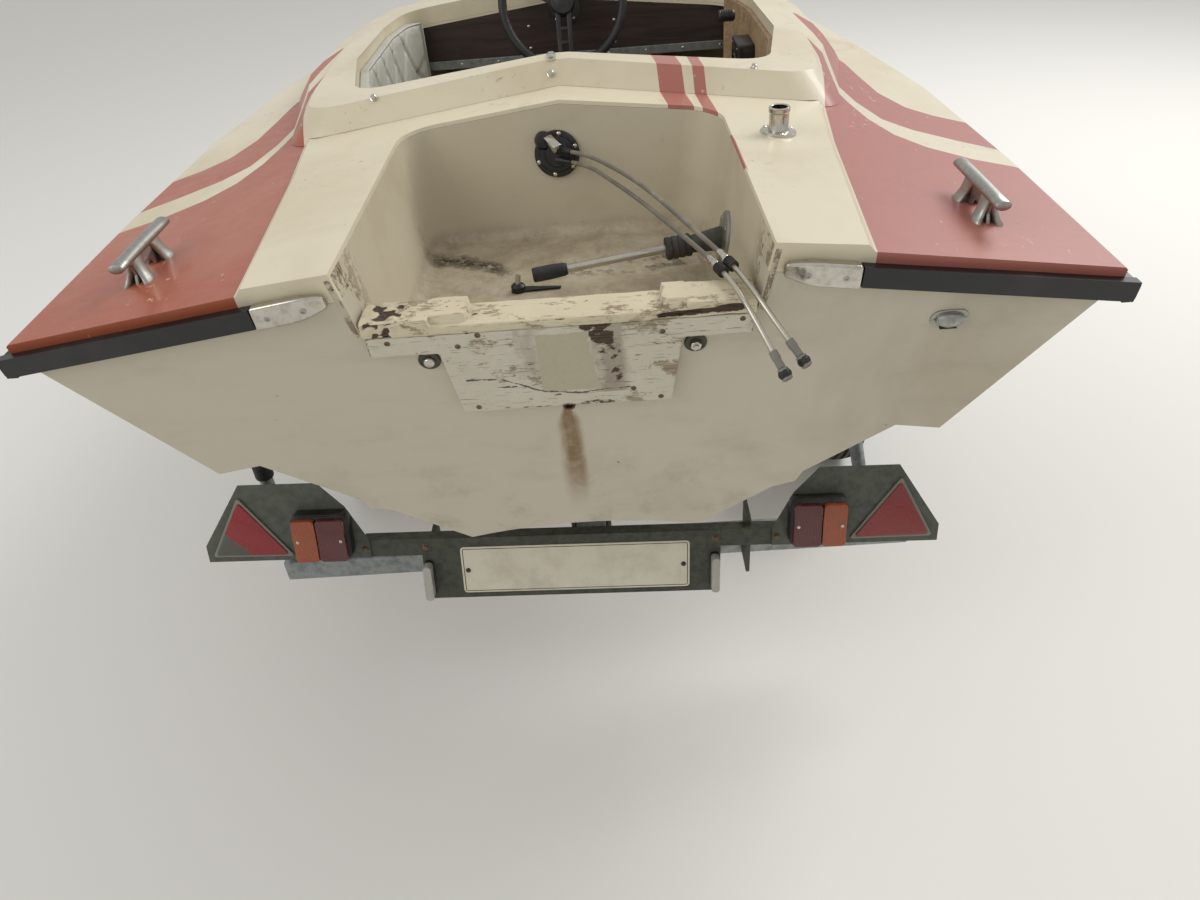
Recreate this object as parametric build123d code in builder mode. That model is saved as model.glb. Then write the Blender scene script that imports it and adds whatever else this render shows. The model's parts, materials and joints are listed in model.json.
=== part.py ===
import os
from collections import namedtuple
from math import cos, radians, sin, tan

from build123d import *

# A small open speedboat of glass-fibre laminate with a motor well, on its single-pole road trailer.
# Millimetres. X to starboard, Y forward, Z up from the ground, origin under the middle of the whole.
# Boat heights are counted from the keel at the transom, lengths from the transom forward.

beyond = 3000            # size of blocks that only cut or bound other pieces

# Hull
keel_height = 620        # keel above the ground as it stands on the trailer
transom_rake = 12        # lean of the transom aft, degrees
transom_thick = 45
room_above = 40          # how far the space inside is drawn over the sheer
sheer_trim = 0.05        # how far under the sheer line the hull's edge is cut level
hull_wall = 8
keel_hollow = 25         # rise of the hollow along the keel
chine_lip = 75           # width of the flat at the chine
chine_drop = 14
rail_start = 0.40        # spray rail on the bottom panel, as shares of the panel
rail_low = 0.52
rail_end = 0.56
spray_rail_drop = 17
seat_gap = 0.3           # what rests on a curved face lies this far from it

Station = namedtuple("Station", "y keel_z keel_half chine_half chine_z sheer_half sheer_z band_half")
stations = [
    Station(-90, 0, 214, 610, 220, 806, 504, 437),
    Station(450, 0, 212, 610, 220, 810, 506, 490),
    Station(900, 0, 205, 597, 222, 796, 509, 552),
    Station(1300, 0, 192, 556, 228, 742, 514, 580),
    Station(1700, 2, 172, 492, 240, 662, 521, 556),
    Station(2150, 11, 146, 405, 262, 556, 532, 455),
    Station(2600, 35, 116, 308, 294, 438, 546, 340),
    Station(3050, 87, 84, 208, 340, 308, 562, 218),
    Station(3450, 187, 52, 122, 400, 188, 578, 115),
    Station(3750, 313, 27, 60, 468, 98, 592, 50),
    Station(3920, 432, 12, 26, 532, 46, 602, 20),
    Station(3990, 523, 7, 14, 580, 24, 608, 9),
]
stern = stations[0]
slab_low, slab_high = -200, 1000    # span of the slabs that follow the transom's lean

# Deck
deck_wall = 7
deck_edge = 22           # height of the deck's outer edge
deck_slope = 0.1565      # rise of the side deck towards the middle
band_step = 12           # height of the raised middle over the side deck
band_bevel = 10
edge_bevel = 4
deck_camber = 0.11       # rise of the raised middle towards the centre line
deck_lip = 40            # depth of the deck's turned down edge across the transom

# Motor well
well_floor = 392
well_front = 570
well_aft = 200           # how far aft of the transom its shape is drawn
well_half = 272
well_wall_lean = 0.161   # outward lean of the side walls
well_front_lean = 0.17
well_corner = 70
well_floor_round = 24
well_wall = 8
well_top = 320           # height over the well's floor that its walls are drawn to
cutout_level = 498       # top of the transom inside the motor cut-out
drain_level = 330
drain_radius = 8

# Cockpit opening and its coaming
cockpit_rear = 800
cockpit_middle = 1150
cockpit_bend = 1500
cockpit_front = 1700
cockpit_half_rear = 432
cockpit_half_mid = 500
cockpit_half_front = 470
cockpit_corner = 85
coaming_rise = 45
coaming_top = 52         # width of the coaming's flat top
coaming_lean = 38        # its outer face from the vertical, degrees
coaming_crest = 685      # its top on the centre line
coaming_foot = 540
sole_level = 110
sole_thick = 12
sole_rear = 700
sole_front = 1950
sole_gap = 5
bearer_x = 130
bearer_wide = 30

# Rub rail
rub_height = 34
rub_above = 4            # how far the rail stands over the joint of hull and deck
rub_proud = 17
rub_bevel = 5
rub_inner_end = 428      # where the rail ends beside the motor well
cap_length = 108
cap_extra = 3            # how much the end cap is larger than the rail
cap_gap = 1

# Deck fittings
cleat_x = 650
cleat_y = 171
cleat_long = 188
cleat_feet = 112
cleat_rise = 48
cleat_bar = 9
cleat_leg_wide = 14
cleat_leg_long = 26
cleat_foot_wide = 34
cleat_foot_long = 40
cleat_foot_high = 8
cleat_sink = 20          # how far legs and feet are drawn under the deck's line before it cuts them
socket_x = 393
socket_y = 461
socket_rise = 35
socket_base = 20         # half the flange, before the deck's slope is cut away under it
pole_depth = 38          # blind bore for the pole
socket_outer = 19
socket_bore = 14
socket_flange = 32
socket_level = 590

# Transom
pad_top_half = 285
pad_mid_half = 180
pad_low_half = 164
pad_mid_level = 463
pad_low_level = 338
pad_thick = 14
clamp_board_thick = 16
clamp_board_half = 286
clamp_end_long = 100
clamp_end_thick = 12
clamp_fore = 8
bolt_x = 200
bolt_level = 444
washer_radius = 17
washer_thick = 4
bolt_head_radius = 9
bolt_head_high = 8
vent_x = 572
vent_level = 457
vent_long = 56
vent_high = 32
vent_proud = 16
vent_taper = 25

# Motor controls
boot_x = -11
boot_level = 547
boot_radius = 44
boot_thick = 14
nose_radius = 9
nose_long = 40
nose_spread = 10
first_run = 46
cable_radius = 4
bend_share = 0.45        # share of each run that its bend takes
sleeve_play = 1
sleeve_run = 6           # the run of the route that carries the sleeves
sleeve_plan = ((7, 40, -12), (9, 16, 16))    # radius, length, place along the run
end_radius = 6
end_long = 26
end_ball = 10
end_ball_at = 34
flange_y = 330
flange_level = 466
flange_radius = 46
flange_thick = 9
guide_radius = 16
guide_out = 62
guide_in = 262
sleeve_radius = 20
sleeve_long = 46
rod_radius = 7
rod_reach = 345          # from the well's wall to the rod's inner end
rod_inside = 150         # length of the rod behind the wall
rod_end_radius = 13
rod_end_long = 62
rod_swing = 7            # slant of the rod aft, degrees
rod_dip = 4.5            # slant of the rod down, degrees
running_gap = 0.05       # radial clearance of each shaft in its hole

# Helm
dash_low = 471
dash_thick = 18
dash_strip_high = 24
dash_strip_thick = 6
dash_strip_short = 10
dash_high = 300          # drawn up into the deck, which trims it
wheel_x = -12
wheel_y = 1600
wheel_level = 636
wheel_lean = 20
helm_rim_radius = 168
helm_rim_bar = 12
helm_hub_radius = 34
helm_hub_long = 30
helm_spoke_wide = 44
helm_spoke_thick = 5
helm_spokes = 3
helm_gap = 1
column_radius = 24
column_in = 20
shaft_radius = 10
shaft_long = 80
throttle_y = 1400
throttle_level = 500
throttle_long = 120
throttle_high = 95
throttle_thick = 46
throttle_round = 8
lever_long = 120
lever_wide = 16
lever_thick = 8
lever_low = 12           # its pivot under the middle of the box
knob_radius = 15
knob_long = 44

# Inside
bulkhead_y = 808
bulkhead_thick = 12
bulkhead_foot_half = 330
bulkhead_knee = 250
bulkhead_short = 10      # under the lining's top
seat_deep = 400
seat_half = 300
seat_board = 300
seat_cushion_half = 400
seat_cushion_high = 95
cushion_round = 20
back_half = 400
back_thick = 75
back_high = 175
side_low = 330
side_thick = 26
side_top = 600
side_rear = 905
side_short = 10          # from the end of the lining to where the cockpit wall turns across
lining_inner = 150       # nothing of the lining is nearer the middle
panel_thick = 12
oval_long = 210
oval_high = 90
oval_y = 1230
oval_level = 480
screen_foot = 1835
screen_level = 640
screen_sunk = 60
screen_rear = 20
screen_bow = 210         # how far the middle of the screen's foot lies before its ends
screen_taper = 0.25
screen_high = 210
screen_lean = 42
screen_thick = 4
screen_half = 395
screen_rail = 22
screen_rail_thick = 14

# Trailer
pole_wide = 60
pole_high = 80
pole_under = 400         # underside of the pole over the ground
pole_rear = 290
pole_front = 4700
cross_tube = 50
rear_cross_y = 330
rear_cross_half = 690
brace_y = 2250
brace_wide = 40
brace_root = 100         # its width along the pole
brace_face = 10
brace_end = 60
axle_y = 1150
axle_tube = 60
axle_half = 560
drop_thick = 25
drop_long = 80
drop_over = 70
wheel_radius = 260
wheel_track_half = 720
tyre_wide = 125
tyre_shoulder = 30
tyre_bulge = 40
rim_radius = 112
rim_wide = 90
rim_wall = 6
disc_thick = 8
hub_radius = 42
hub_long = 90
stub_radius = 14
stub_past = 20
stub_end_gap = 1
guard_gap = 42
guard_thick = 4
guard_seat = 0.6
guard_wide = 150
guard_foot = 60          # lower ends of the guard over the wheel's axis
guard_arm = 160
bracket_thick = 8
bracket_wide = 40
guide_post_radius = 14
guide_top_radius = 19
guide_top_long = 46
guide_starboard = (604, 556)    # foot and head from the middle line
guide_port = (-672, -672)
guide_weld = 4
bunk_x = 420
roller_radius = 50
roller_long = 90
roller_rows = [stations[1], stations[4], stations[7]]
roller_pin = 8
roller_sink = 0.6
roller_play = 1
ear_thick = 8
ear_wide = 50
ear_lap = 20             # under the pole's top and over the pin
bunk_post_radius = 20
bunk_pad_thick = 60
bunk_pad_wide = 90
bunk_pad_long = 160
bow_roller_radius = 40
bow_roller_gap = 4
stem_touch = 25          # how far forward of its last bend the stem meets the bow roller
guide_head = 625         # top of the guide posts' tubes over the ground
drum_radius = 32
drum_long = 84
drum_shaft = 10
drum_reach = 60
drum_play = 2
shaft_past = 20
crank_long = 190
crank_wide = 26
crank_thick = 10
crank_over = 15
grip_radius = 14
grip_long = 110
cheek_high = 70
cheek_past = 30
cheek_plate = 8
arm_high = 40
arm_past = 20
arm_lap = 30
strap_wide = 50
strap_thick = 3
strap_short = 27
hook_wide = 30
hook_thick = 14
hook_long = 30
eye_share = 0.5          # place of the bow eye between two stations
eye_root = 30
eye_long = 62
eye_bar = 7
eye_ring_at = 50
eye_ring = 20
eye_ring_bar = 6
coupling_round = 38
coupling_slim = 10
ball_play = 0.5
handle_at = 60
handle_wide = 30
handle_long = 150
handle_high = 34
socket_deep = 36
swivel_radius = 10
swivel_long = 58
swivel_spare = 5
swivel_gap = 0.5
jockey_trail = 30
leg_long = 480
winch_y = 4290
winch_post = 60
winch_level = 900
coupling_reach = 245     # coupling's nose in front of the pole
ball_radius = 25
jockey_y = 4560
jockey_x = 95
jockey_outer = 24
jockey_wall = 3
jockey_cap = 10
jockey_clamp_long = 70
jockey_clamp_high = 50
jockey_clamp_wall = 10
jockey_wheel = 100
jockey_tread = 55
jockey_top = 800
jockey_low = 330
winder_pin = 8
winder_rise = 30
winder_wide = 20
winder_long = 130
winder_thick = 8
winder_knob_at = 120
winder_knob = 11
winder_knob_high = 80
fork_clear = 14          # from the wheel's top to the top of the fork
fork_plate = 8
fork_long = 60
fork_lip = 5
fork_cheek = 5
fork_cheek_gap = 5
fork_cheek_long = 44
fork_cheek_low = 18
fork_lap = 1
jockey_pin = 8
jockey_pin_past = 12
jockey_slim = 4
jockey_round = 12
board_y = 218            # lamp boards, forward of the transom
board_shift = -42
board_lean = 12.6        # degrees that the boards face up
board_roll = 2           # degrees that the boards hang down to starboard
board_level = 467        # underside of the beam over the ground
beam_high = 40
beam_deep = 30
beam_half = 430
board_thick = 3
plate_long = 476
plate_high = 110
plate_shift = 8
plate_drop = 22
plate_thick = 2
carrier_long = 620
carrier_drop = 105
carrier_arm_x = 330
carrier_arm_thick = 8
carrier_arm_high = 150
carrier_arm_low = 45
carrier_arm_gap = 20
board_inner = 415
board_outer = 755
board_high = 175
lamp_inner = 445
lamp_outer = 560
lamp_low = 12
lamp_high = 105
lamp_deep = 45
marker_wide = 20
marker_edge = 2
marker_low = -95
marker_top = -10
marker_deep = 30
reflector_thick = 8
# outlines on a lamp board: distance from the middle, height over the beam's underside
lamp_outline = [(board_inner, 0), (board_outer, 0), (board_outer, 38), (board_outer - 92, board_high),
                (board_inner + 90, board_high), (board_inner + 40, 120), (board_inner, beam_high)]
reflector_outline = [(lamp_outer + 12, 12), (board_outer - 12, 14), (board_outer - 87, 150)]


def transom_y(z, proud=0.0):
    return (stern.sheer_z - z) * tan(radians(transom_rake)) - proud / cos(radians(transom_rake))


def side_deck(x, drop=0.0):
    # height of the side deck's line across the transom, drawn on to any distance x
    return stern.sheer_z + deck_edge + deck_slope * (stern.sheer_half - x) - drop


rub_top_drop = deck_edge - rub_above
cap_end_x = rub_inner_end - cap_gap - cap_length
cap_top_z = side_deck(cap_end_x, rub_top_drop - cap_extra)
stern_reach = transom_y(cap_top_z, rub_proud + cap_extra + seat_gap)
stern_y = -(pole_front + coupling_reach + stern_reach) / 2
wall_x = hull_wall * 1.25


def station_plane(y):
    return Plane(origin=(0, stern_y + y, keel_height), x_dir=(1, 0, 0), z_dir=(0, -1, 0))


def boat_level(z):
    return Plane(origin=(0, stern_y, keel_height + z))


def ground_level(z):
    return Plane(origin=(0, stern_y, z))


def boat(x, y, z):
    return Vector(x, stern_y + y, keel_height + z)


def ground(x, y, z):
    return Vector(x, stern_y + y, z)


def mirrored(half):
    # closed outline from the points of its starboard half
    return half + [(-x, z) for x, z in reversed(half) if x > 0]


def bow_scale(row):
    return row.chine_half / stern.chine_half


def band_share(row):
    return min(1.0, row.band_half / 100)


def chine_inner(row):
    k = bow_scale(row)
    return (row.chine_half - chine_lip * k, row.chine_z + chine_drop * k)


def hull_outline(row):
    k = bow_scale(row)
    corner, inner = (row.keel_half, row.keel_z), chine_inner(row)

    def panel(share, drop=0.0):
        return (corner[0] + share * (inner[0] - corner[0]),
                corner[1] + share * (inner[1] - corner[1]) - drop * k)

    half = [corner, panel(rail_start), panel(rail_low, spray_rail_drop), panel(rail_end), inner,
            (row.chine_half, row.chine_z), (row.sheer_half, row.sheer_z)] + lip_line(row)
    return mirrored(half)


def hull_room(row):
    # the space inside the hull's laminate, open at the top
    k = bow_scale(row)
    inner = chine_inner(row)
    slope = (inner[1] - row.keel_z) / (inner[0] - row.keel_half)
    floor = keel_hollow * k + hull_wall
    foot = row.keel_half + floor / slope - hull_wall * (1 + slope ** 2) ** 0.5 / slope
    flare = (row.sheer_half - row.chine_half) / (row.sheer_z - row.chine_z)
    return mirrored([(foot, row.keel_z + floor), (inner[0], inner[1] + wall_x),
                     (row.chine_half - hull_wall / 2, inner[1] + 1.5 * hull_wall),
                     (row.sheer_half - wall_x + flare * room_above, row.sheer_z + room_above)])


def room_half(row, z):
    # half width inside the bottom panels at a height z
    inner = chine_inner(row)
    slope = (inner[1] - row.keel_z) / (inner[0] - row.keel_half)
    return row.keel_half + (z - row.keel_z) / slope - hull_wall * (1 + slope ** 2) ** 0.5 / slope


def over_sheer(row):
    return mirrored([(beyond / 2, row.sheer_z - sheer_trim), (beyond / 2, row.sheer_z + beyond / 4)])


def roller_axis(row):
    # height of a keel roller's axis, with its ends just clear of the hollow keel
    at = stations.index(row)
    slope = (stations[at + 1].keel_z - stations[at - 1].keel_z) / (stations[at + 1].y - stations[at - 1].y)
    hollow = keel_hollow * bow_scale(row) * (1 - (roller_long / 2 / row.keel_half) ** 2)
    return row.keel_z + hollow - roller_sink - roller_radius * (1 + slope ** 2) ** 0.5


def deck_feet(row):
    edge = row.sheer_z + deck_edge
    foot = edge + deck_slope * (row.sheer_half - row.band_half)
    return edge, foot, foot + band_step * band_share(row)


def deck_outline(row, rise=0.0, wall=0.0, base=0.0):
    share = band_share(row)
    edge, foot, top = (z + rise - wall for z in deck_feet(row))
    half = row.sheer_half - wall
    band = row.band_half - wall / 4
    return mirrored([(half, row.sheer_z + base), (half, edge - edge_bevel * share),
                     (half - edge_bevel * share, edge), (band, foot),
                     (band - band_bevel * share, top), (0, top + deck_camber * row.band_half)])


def lip_line(row, gap=0.0):
    edge, foot, top = deck_feet(row)
    return [(row.band_half, foot - deck_lip + gap), (0, top + deck_camber * row.band_half - deck_lip + gap)]


def under_lip(row):
    side = row.sheer_half
    return mirrored([(side + 50, row.sheer_z - 200), (side + 50, row.sheer_z + seat_gap),
                     (side, row.sheer_z + seat_gap)] + lip_line(row, seat_gap))


def rub_outline(row):
    inner = row.sheer_half + seat_gap
    outer = row.sheer_half + seat_gap + rub_proud
    low, high = row.sheer_z + rub_above - rub_height, row.sheer_z + rub_above
    return [(inner, low), (outer - rub_bevel, low), (outer, low + rub_bevel), (outer, high - rub_bevel),
            (outer - rub_bevel, high), (inner, high)]


def station_loft(outline, rows=stations, hollow_keel=False):
    with BuildPart() as block:
        for row in rows:
            points = outline(row)
            with BuildSketch(station_plane(row.y)):
                with BuildLine():
                    Polyline(*points, close=not hollow_keel)
                    if hollow_keel:
                        rise = (0, row.keel_z + keel_hollow * bow_scale(row))
                        ThreePointArc(points[-1], rise, points[0])
                make_face()
        loft(ruled=True)
    return block.part


def raked_slab(proud, depth):
    # slab along the transom, from proud of it to a depth inside the hull
    corners = [(transom_y(slab_low, proud), slab_low), (transom_y(slab_low, -depth), slab_low),
               (transom_y(slab_high, -depth), slab_high), (transom_y(slab_high, proud), slab_high)]
    with BuildPart() as slab:
        with BuildSketch(Plane.YZ.offset(-beyond / 2)):
            with BuildLine():
                Polyline(*[(stern_y + y, keel_height + z) for y, z in corners], close=True)
            make_face()
        extrude(amount=beyond)
    return slab.part


def transom_piece(outline, proud, depth):
    # plate of a given outline on the transom, from proud of it to a depth inside
    with BuildPart() as plate:
        with BuildSketch(station_plane(0)):
            with BuildLine():
                Polyline(*outline, close=True)
            make_face()
        extrude(amount=beyond / 10, both=True)
        add(raked_slab(proud, depth), mode=Mode.INTERSECT)
    return plate.part


def cockpit_sketch(plane, grow):
    corners = [(-cockpit_half_rear, cockpit_rear), (cockpit_half_rear, cockpit_rear),
               (cockpit_half_mid, cockpit_middle), (cockpit_half_mid, cockpit_bend),
               (cockpit_half_front, cockpit_front), (-cockpit_half_front, cockpit_front),
               (-cockpit_half_mid, cockpit_bend), (-cockpit_half_mid, cockpit_middle)]
    with BuildSketch(plane) as sketch:
        with BuildLine():
            Polyline(*corners, close=True)
        make_face()
        offset(amount=grow - cockpit_corner, kind=Kind.INTERSECTION)
        offset(amount=cockpit_corner, kind=Kind.ARC)
    return sketch.sketch


def tapered_well(grow):
    # the motor well's space, or the outside of its tub
    low = well_floor - grow
    with BuildPart() as block:
        for rise in (0, well_top + grow):
            half = well_half + grow + well_wall_lean * rise
            front = well_front + grow + well_front_lean * rise
            with BuildSketch(boat_level(low + rise)):
                with Locations((0, (front - well_aft) / 2)):
                    RectangleRounded(2 * half, front + well_aft, well_corner + grow)
        loft()
        fillet(block.faces().sort_by(Axis.Z)[0].edges(), radius=well_floor_round + grow)
    return block.part


def post(foot, head, radius, inner=0.0):
    # round bar or tube from foot to head
    with BuildPart() as bar:
        with BuildSketch(Plane(origin=foot, z_dir=head - foot)):
            Circle(radius)
            if inner:
                Circle(inner, mode=Mode.SUBTRACT)
        extrude(amount=(head - foot).length)
    return bar.part


def screen_band(thick):
    # raked band bent round the front of the cockpit, from under the deck to the screen's top
    with BuildPart() as band:
        for rise in (-screen_sunk, screen_high):
            back = rise * tan(radians(screen_lean))
            half = screen_half - rise * screen_taper
            with BuildSketch(boat_level(screen_level + rise)):
                with BuildLine():
                    rear, nose = screen_foot + screen_rear - back, screen_foot + screen_bow - back
                    ThreePointArc((-half, rear), (0, nose), (half, rear))
                    Line((half, rear), (half - thick, rear))
                    ThreePointArc((half - thick, rear), (0, nose - thick), (thick - half, rear))
                    Line((thick - half, rear), (-half, rear))
                make_face()
        loft()
    return band.part


def board_sheet(points, low, thick):
    # sheet on the leaning light board
    with BuildPart() as sheet:
        with BuildSketch(board_plane.offset(low)):
            with BuildLine():
                Polyline(*points, close=True)
            make_face()
        extrude(amount=thick)
    return sheet.part


def box_outline(x1, x2, z1, z2):
    return [(x1, z1), (x2, z1), (x2, z2), (x1, z2)]


def across(place):
    # plane square to the boat's width
    return Plane(origin=place, z_dir=(1, 0, 0))


def save(part, label):
    part.label = label
    export_step(part, "parts/" + label + ".step")


os.makedirs("parts", exist_ok=True)
on_foot = (Align.CENTER, Align.CENTER, Align.MIN)

# Shared shapes that several pieces are cut with
aft_of_hull = raked_slab(beyond / 5, 0)
aft_of_room = raked_slab(beyond / 5, transom_thick)
hull_block = station_loft(hull_outline, hollow_keel=True) - aft_of_hull
deck_block = station_loft(deck_outline) - aft_of_hull
deck_seat = station_loft(lambda row: deck_outline(row, rise=seat_gap))
deck_under = station_loft(lambda row: deck_outline(row, rise=-seat_gap, wall=deck_wall, base=-400),
                          stations[:-1])
well_space = tapered_well(0)

with BuildPart() as cockpit_space:
    add(cockpit_sketch(boat_level(slab_low), 0))
    extrude(amount=slab_high - slab_low)

# Hull shell with its transom, one laminate
cutters = [station_loft(hull_room, stations[:-1]) - aft_of_room, station_loft(over_sheer) - aft_of_room]

with BuildPart() as cutout:
    add(well_space)
    with BuildSketch(boat_level(cutout_level)):
        Rectangle(beyond, beyond)
    extrude(amount=-beyond / 4, mode=Mode.SUBTRACT)

with BuildPart() as hull:
    add(hull_block)
    for cutter in cutters:
        add(cutter, mode=Mode.SUBTRACT)
    add(cutout.part, mode=Mode.SUBTRACT)
    with Locations(Plane(origin=boat(0, 0, drain_level), z_dir=(0, 1, 0))):
        Cylinder(drain_radius, beyond / 6, mode=Mode.SUBTRACT)
save(hull.part, "hull")

# Deck moulding with its turned down aft edge
with BuildPart() as deck_room:
    add(station_loft(lambda row: deck_outline(row, wall=deck_wall, base=-5), stations[:-1]))
    add(raked_slab(beyond / 5, deck_wall), mode=Mode.SUBTRACT)

with BuildPart() as deck:
    add(station_loft(lambda row: deck_outline(row, base=seat_gap)))
    add(aft_of_hull, mode=Mode.SUBTRACT)
    add(deck_room.part, mode=Mode.SUBTRACT)
    add(station_loft(under_lip, stations[:2]), mode=Mode.SUBTRACT)
    add(well_space, mode=Mode.SUBTRACT)
    add(cockpit_space.part, mode=Mode.SUBTRACT)
save(deck.part, "deck")

# Where the steering rod comes through the motor well's starboard wall
rod_way = Vector(-1, 0, 0).rotate(Axis.Y, -rod_dip).rotate(Axis.Z, rod_swing)
wall_in = Vector(-1, 0, well_wall_lean).normalized()
flange_face = boat(well_half + well_wall_lean * (flange_level - well_floor), flange_y, flange_level)

# Motor well tub under the deck
with BuildPart() as motor_well:
    add(tapered_well(well_wall))
    add(well_space, mode=Mode.SUBTRACT)
    add(deck_under, mode=Mode.INTERSECT)
    add(aft_of_room, mode=Mode.SUBTRACT)
    with Locations(Plane(origin=flange_face, z_dir=rod_way)):
        Cylinder(guide_radius + seat_gap, 2 * guide_out, mode=Mode.SUBTRACT)
save(motor_well.part, "motor_well")

# Coaming round the cockpit
with BuildPart() as coaming:
    spread = (coaming_crest - coaming_foot) * tan(radians(coaming_lean))
    add(cockpit_sketch(boat_level(coaming_foot), coaming_top + spread))
    add(cockpit_sketch(boat_level(coaming_crest), coaming_top))
    loft()
    add(station_loft(lambda row: deck_outline(row, rise=coaming_rise)), mode=Mode.INTERSECT)
    add(deck_seat, mode=Mode.SUBTRACT)
    add(cockpit_space.part, mode=Mode.SUBTRACT)
save(coaming.part, "coaming")

# Rub rail round the sheer, along both halves of the transom and across the stem
rail_aft = raked_slab(beyond / 5, 0) - raked_slab(rub_proud + seat_gap, 0)
rail_ends = []
for side in (1, -1):
    line = [(rub_inner_end, side_deck(rub_inner_end, rub_top_drop)),
            (stern.sheer_half + seat_gap + rub_proud, side_deck(stern.sheer_half, rub_top_drop))]
    low = [(x, z - rub_height) for x, z in reversed(line)]
    rail_ends.append(transom_piece([(side * x, z) for x, z in line + low], rub_proud + seat_gap, -seat_gap))

with BuildPart() as rub_rail:
    add(station_loft(rub_outline))
    add(rail_aft, mode=Mode.SUBTRACT)
    mirror(about=Plane.YZ)
    for rail_end in rail_ends:
        add(rail_end)
    last = stations[-1]
    with Locations(boat(0, last.y + rub_proud / 2, last.sheer_z + rub_above - rub_height / 2)):
        Box(2 * (last.sheer_half + rub_proud), rub_proud, rub_height)
    add(hull_block, mode=Mode.SUBTRACT)
    add(deck_block, mode=Mode.SUBTRACT)
save(rub_rail.part, "rub_rail")

# Bright caps on the rail's two ends beside the motor well
with BuildPart() as rub_caps:
    near, far = cap_end_x, rub_inner_end - cap_gap
    for side in (1, -1):
        top = [(x, side_deck(x, rub_top_drop - cap_extra)) for x in (near, far)]
        low = [(x, z - rub_height - 2 * cap_extra) for x, z in reversed(top)]
        add(transom_piece([(side * x, z) for x, z in top + low], rub_proud + cap_extra + seat_gap, -seat_gap))
save(rub_caps.part, "rub_caps")

# Mooring cleats on the side decks
with BuildPart() as cleats:
    bar_z = side_deck(cleat_x) + cleat_rise
    for side in (1, -1):
        with Locations(Plane(origin=boat(side * cleat_x, cleat_y, bar_z), z_dir=(0, 1, 0))):
            Cylinder(cleat_bar, cleat_long)
        for foot_y in (-cleat_feet / 2, cleat_feet / 2):
            with Locations(boat(side * cleat_x, cleat_y + foot_y, bar_z - cleat_rise - cleat_sink)):
                Box(cleat_leg_wide, cleat_leg_long, cleat_rise + cleat_sink, align=on_foot)
                Box(cleat_foot_wide, cleat_foot_long, cleat_foot_high + cleat_sink, align=on_foot)
    add(deck_seat, mode=Mode.SUBTRACT)
save(cleats.part, "cleats")

# Flanged socket for a ski or flag pole
with BuildPart() as pole_socket:
    with Locations(boat(socket_x, socket_y, socket_level)):
        Cylinder(socket_flange, 2 * socket_base)
        Cylinder(socket_outer, socket_base + socket_rise, align=on_foot)
    add(deck_seat, mode=Mode.SUBTRACT)
    with Locations(boat(socket_x, socket_y, socket_level + socket_base + socket_rise)):
        Cylinder(socket_bore, pole_depth, align=(Align.CENTER, Align.CENTER, Align.MAX), mode=Mode.SUBTRACT)
save(pole_socket.part, "pole_socket")

# Wooden pad on the transom's outside, and the clamp board over the cut-out
pad_outline = [(-pad_top_half, cutout_level), (-pad_top_half, pad_mid_level), (-pad_mid_half, pad_mid_level),
               (-pad_low_half, pad_low_level), (pad_low_half, pad_low_level), (pad_mid_half, pad_mid_level),
               (pad_top_half, pad_mid_level), (pad_top_half, cutout_level)]
transom_pad = transom_piece(pad_outline, pad_thick, 0)
save(transom_pad, "transom_pad")

board_top = cutout_level + clamp_board_thick
end_top, end_half = board_top + clamp_end_thick, clamp_board_half - clamp_end_long
board_outline = [(-clamp_board_half, cutout_level), (clamp_board_half, cutout_level),
                 (clamp_board_half, end_top), (end_half, end_top), (end_half, board_top),
                 (-end_half, board_top), (-end_half, end_top), (-clamp_board_half, end_top)]
clamp_board = transom_piece(board_outline, pad_thick, transom_thick + clamp_fore)
save(clamp_board, "clamp_board")

transom_out = Vector(0, -1, 0).rotate(Axis.X, transom_rake)
with BuildPart() as transom_bolts:
    for side in (1, -1):
        head = boat(side * bolt_x, transom_y(bolt_level), bolt_level)
        with Locations(Plane(origin=head, z_dir=transom_out)):
            Cylinder(washer_radius, washer_thick, align=on_foot)
            Cylinder(bolt_head_radius, washer_thick + bolt_head_high, align=on_foot)
save(transom_bolts.part, "transom_bolts")

with BuildPart() as vent_cover:
    face = boat(vent_x, transom_y(vent_level), vent_level)
    with BuildSketch(Plane(origin=face, x_dir=(1, 0, 0), z_dir=transom_out)):
        SlotOverall(vent_long, vent_high)
    extrude(amount=vent_proud, taper=vent_taper)
save(vent_cover.part, "vent_cover")

# Round gland on the motor well's front wall, with the nose that the control cables leave through
wall_out = Vector(0, -1, well_front_lean).normalized()
nose_way = Vector(0.72, -0.68, 0.05).normalized()
boot_face = boat(boot_x, well_front + well_front_lean * (boot_level - well_floor), boot_level)
boot_front = boot_face + wall_out * (boot_thick + seat_gap)
with BuildPart() as cable_gland:
    with Locations(Plane(origin=boot_front - wall_out * boot_thick / 2, z_dir=wall_out)):
        Cylinder(boot_radius, boot_thick)
    for rise in (nose_spread, -nose_spread):
        with Locations(Plane(origin=boot_front + Vector(0, 0, rise), z_dir=nose_way)):
            Cylinder(nose_radius, nose_long, align=on_foot)
save(cable_gland.part, "cable_gland")

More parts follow.
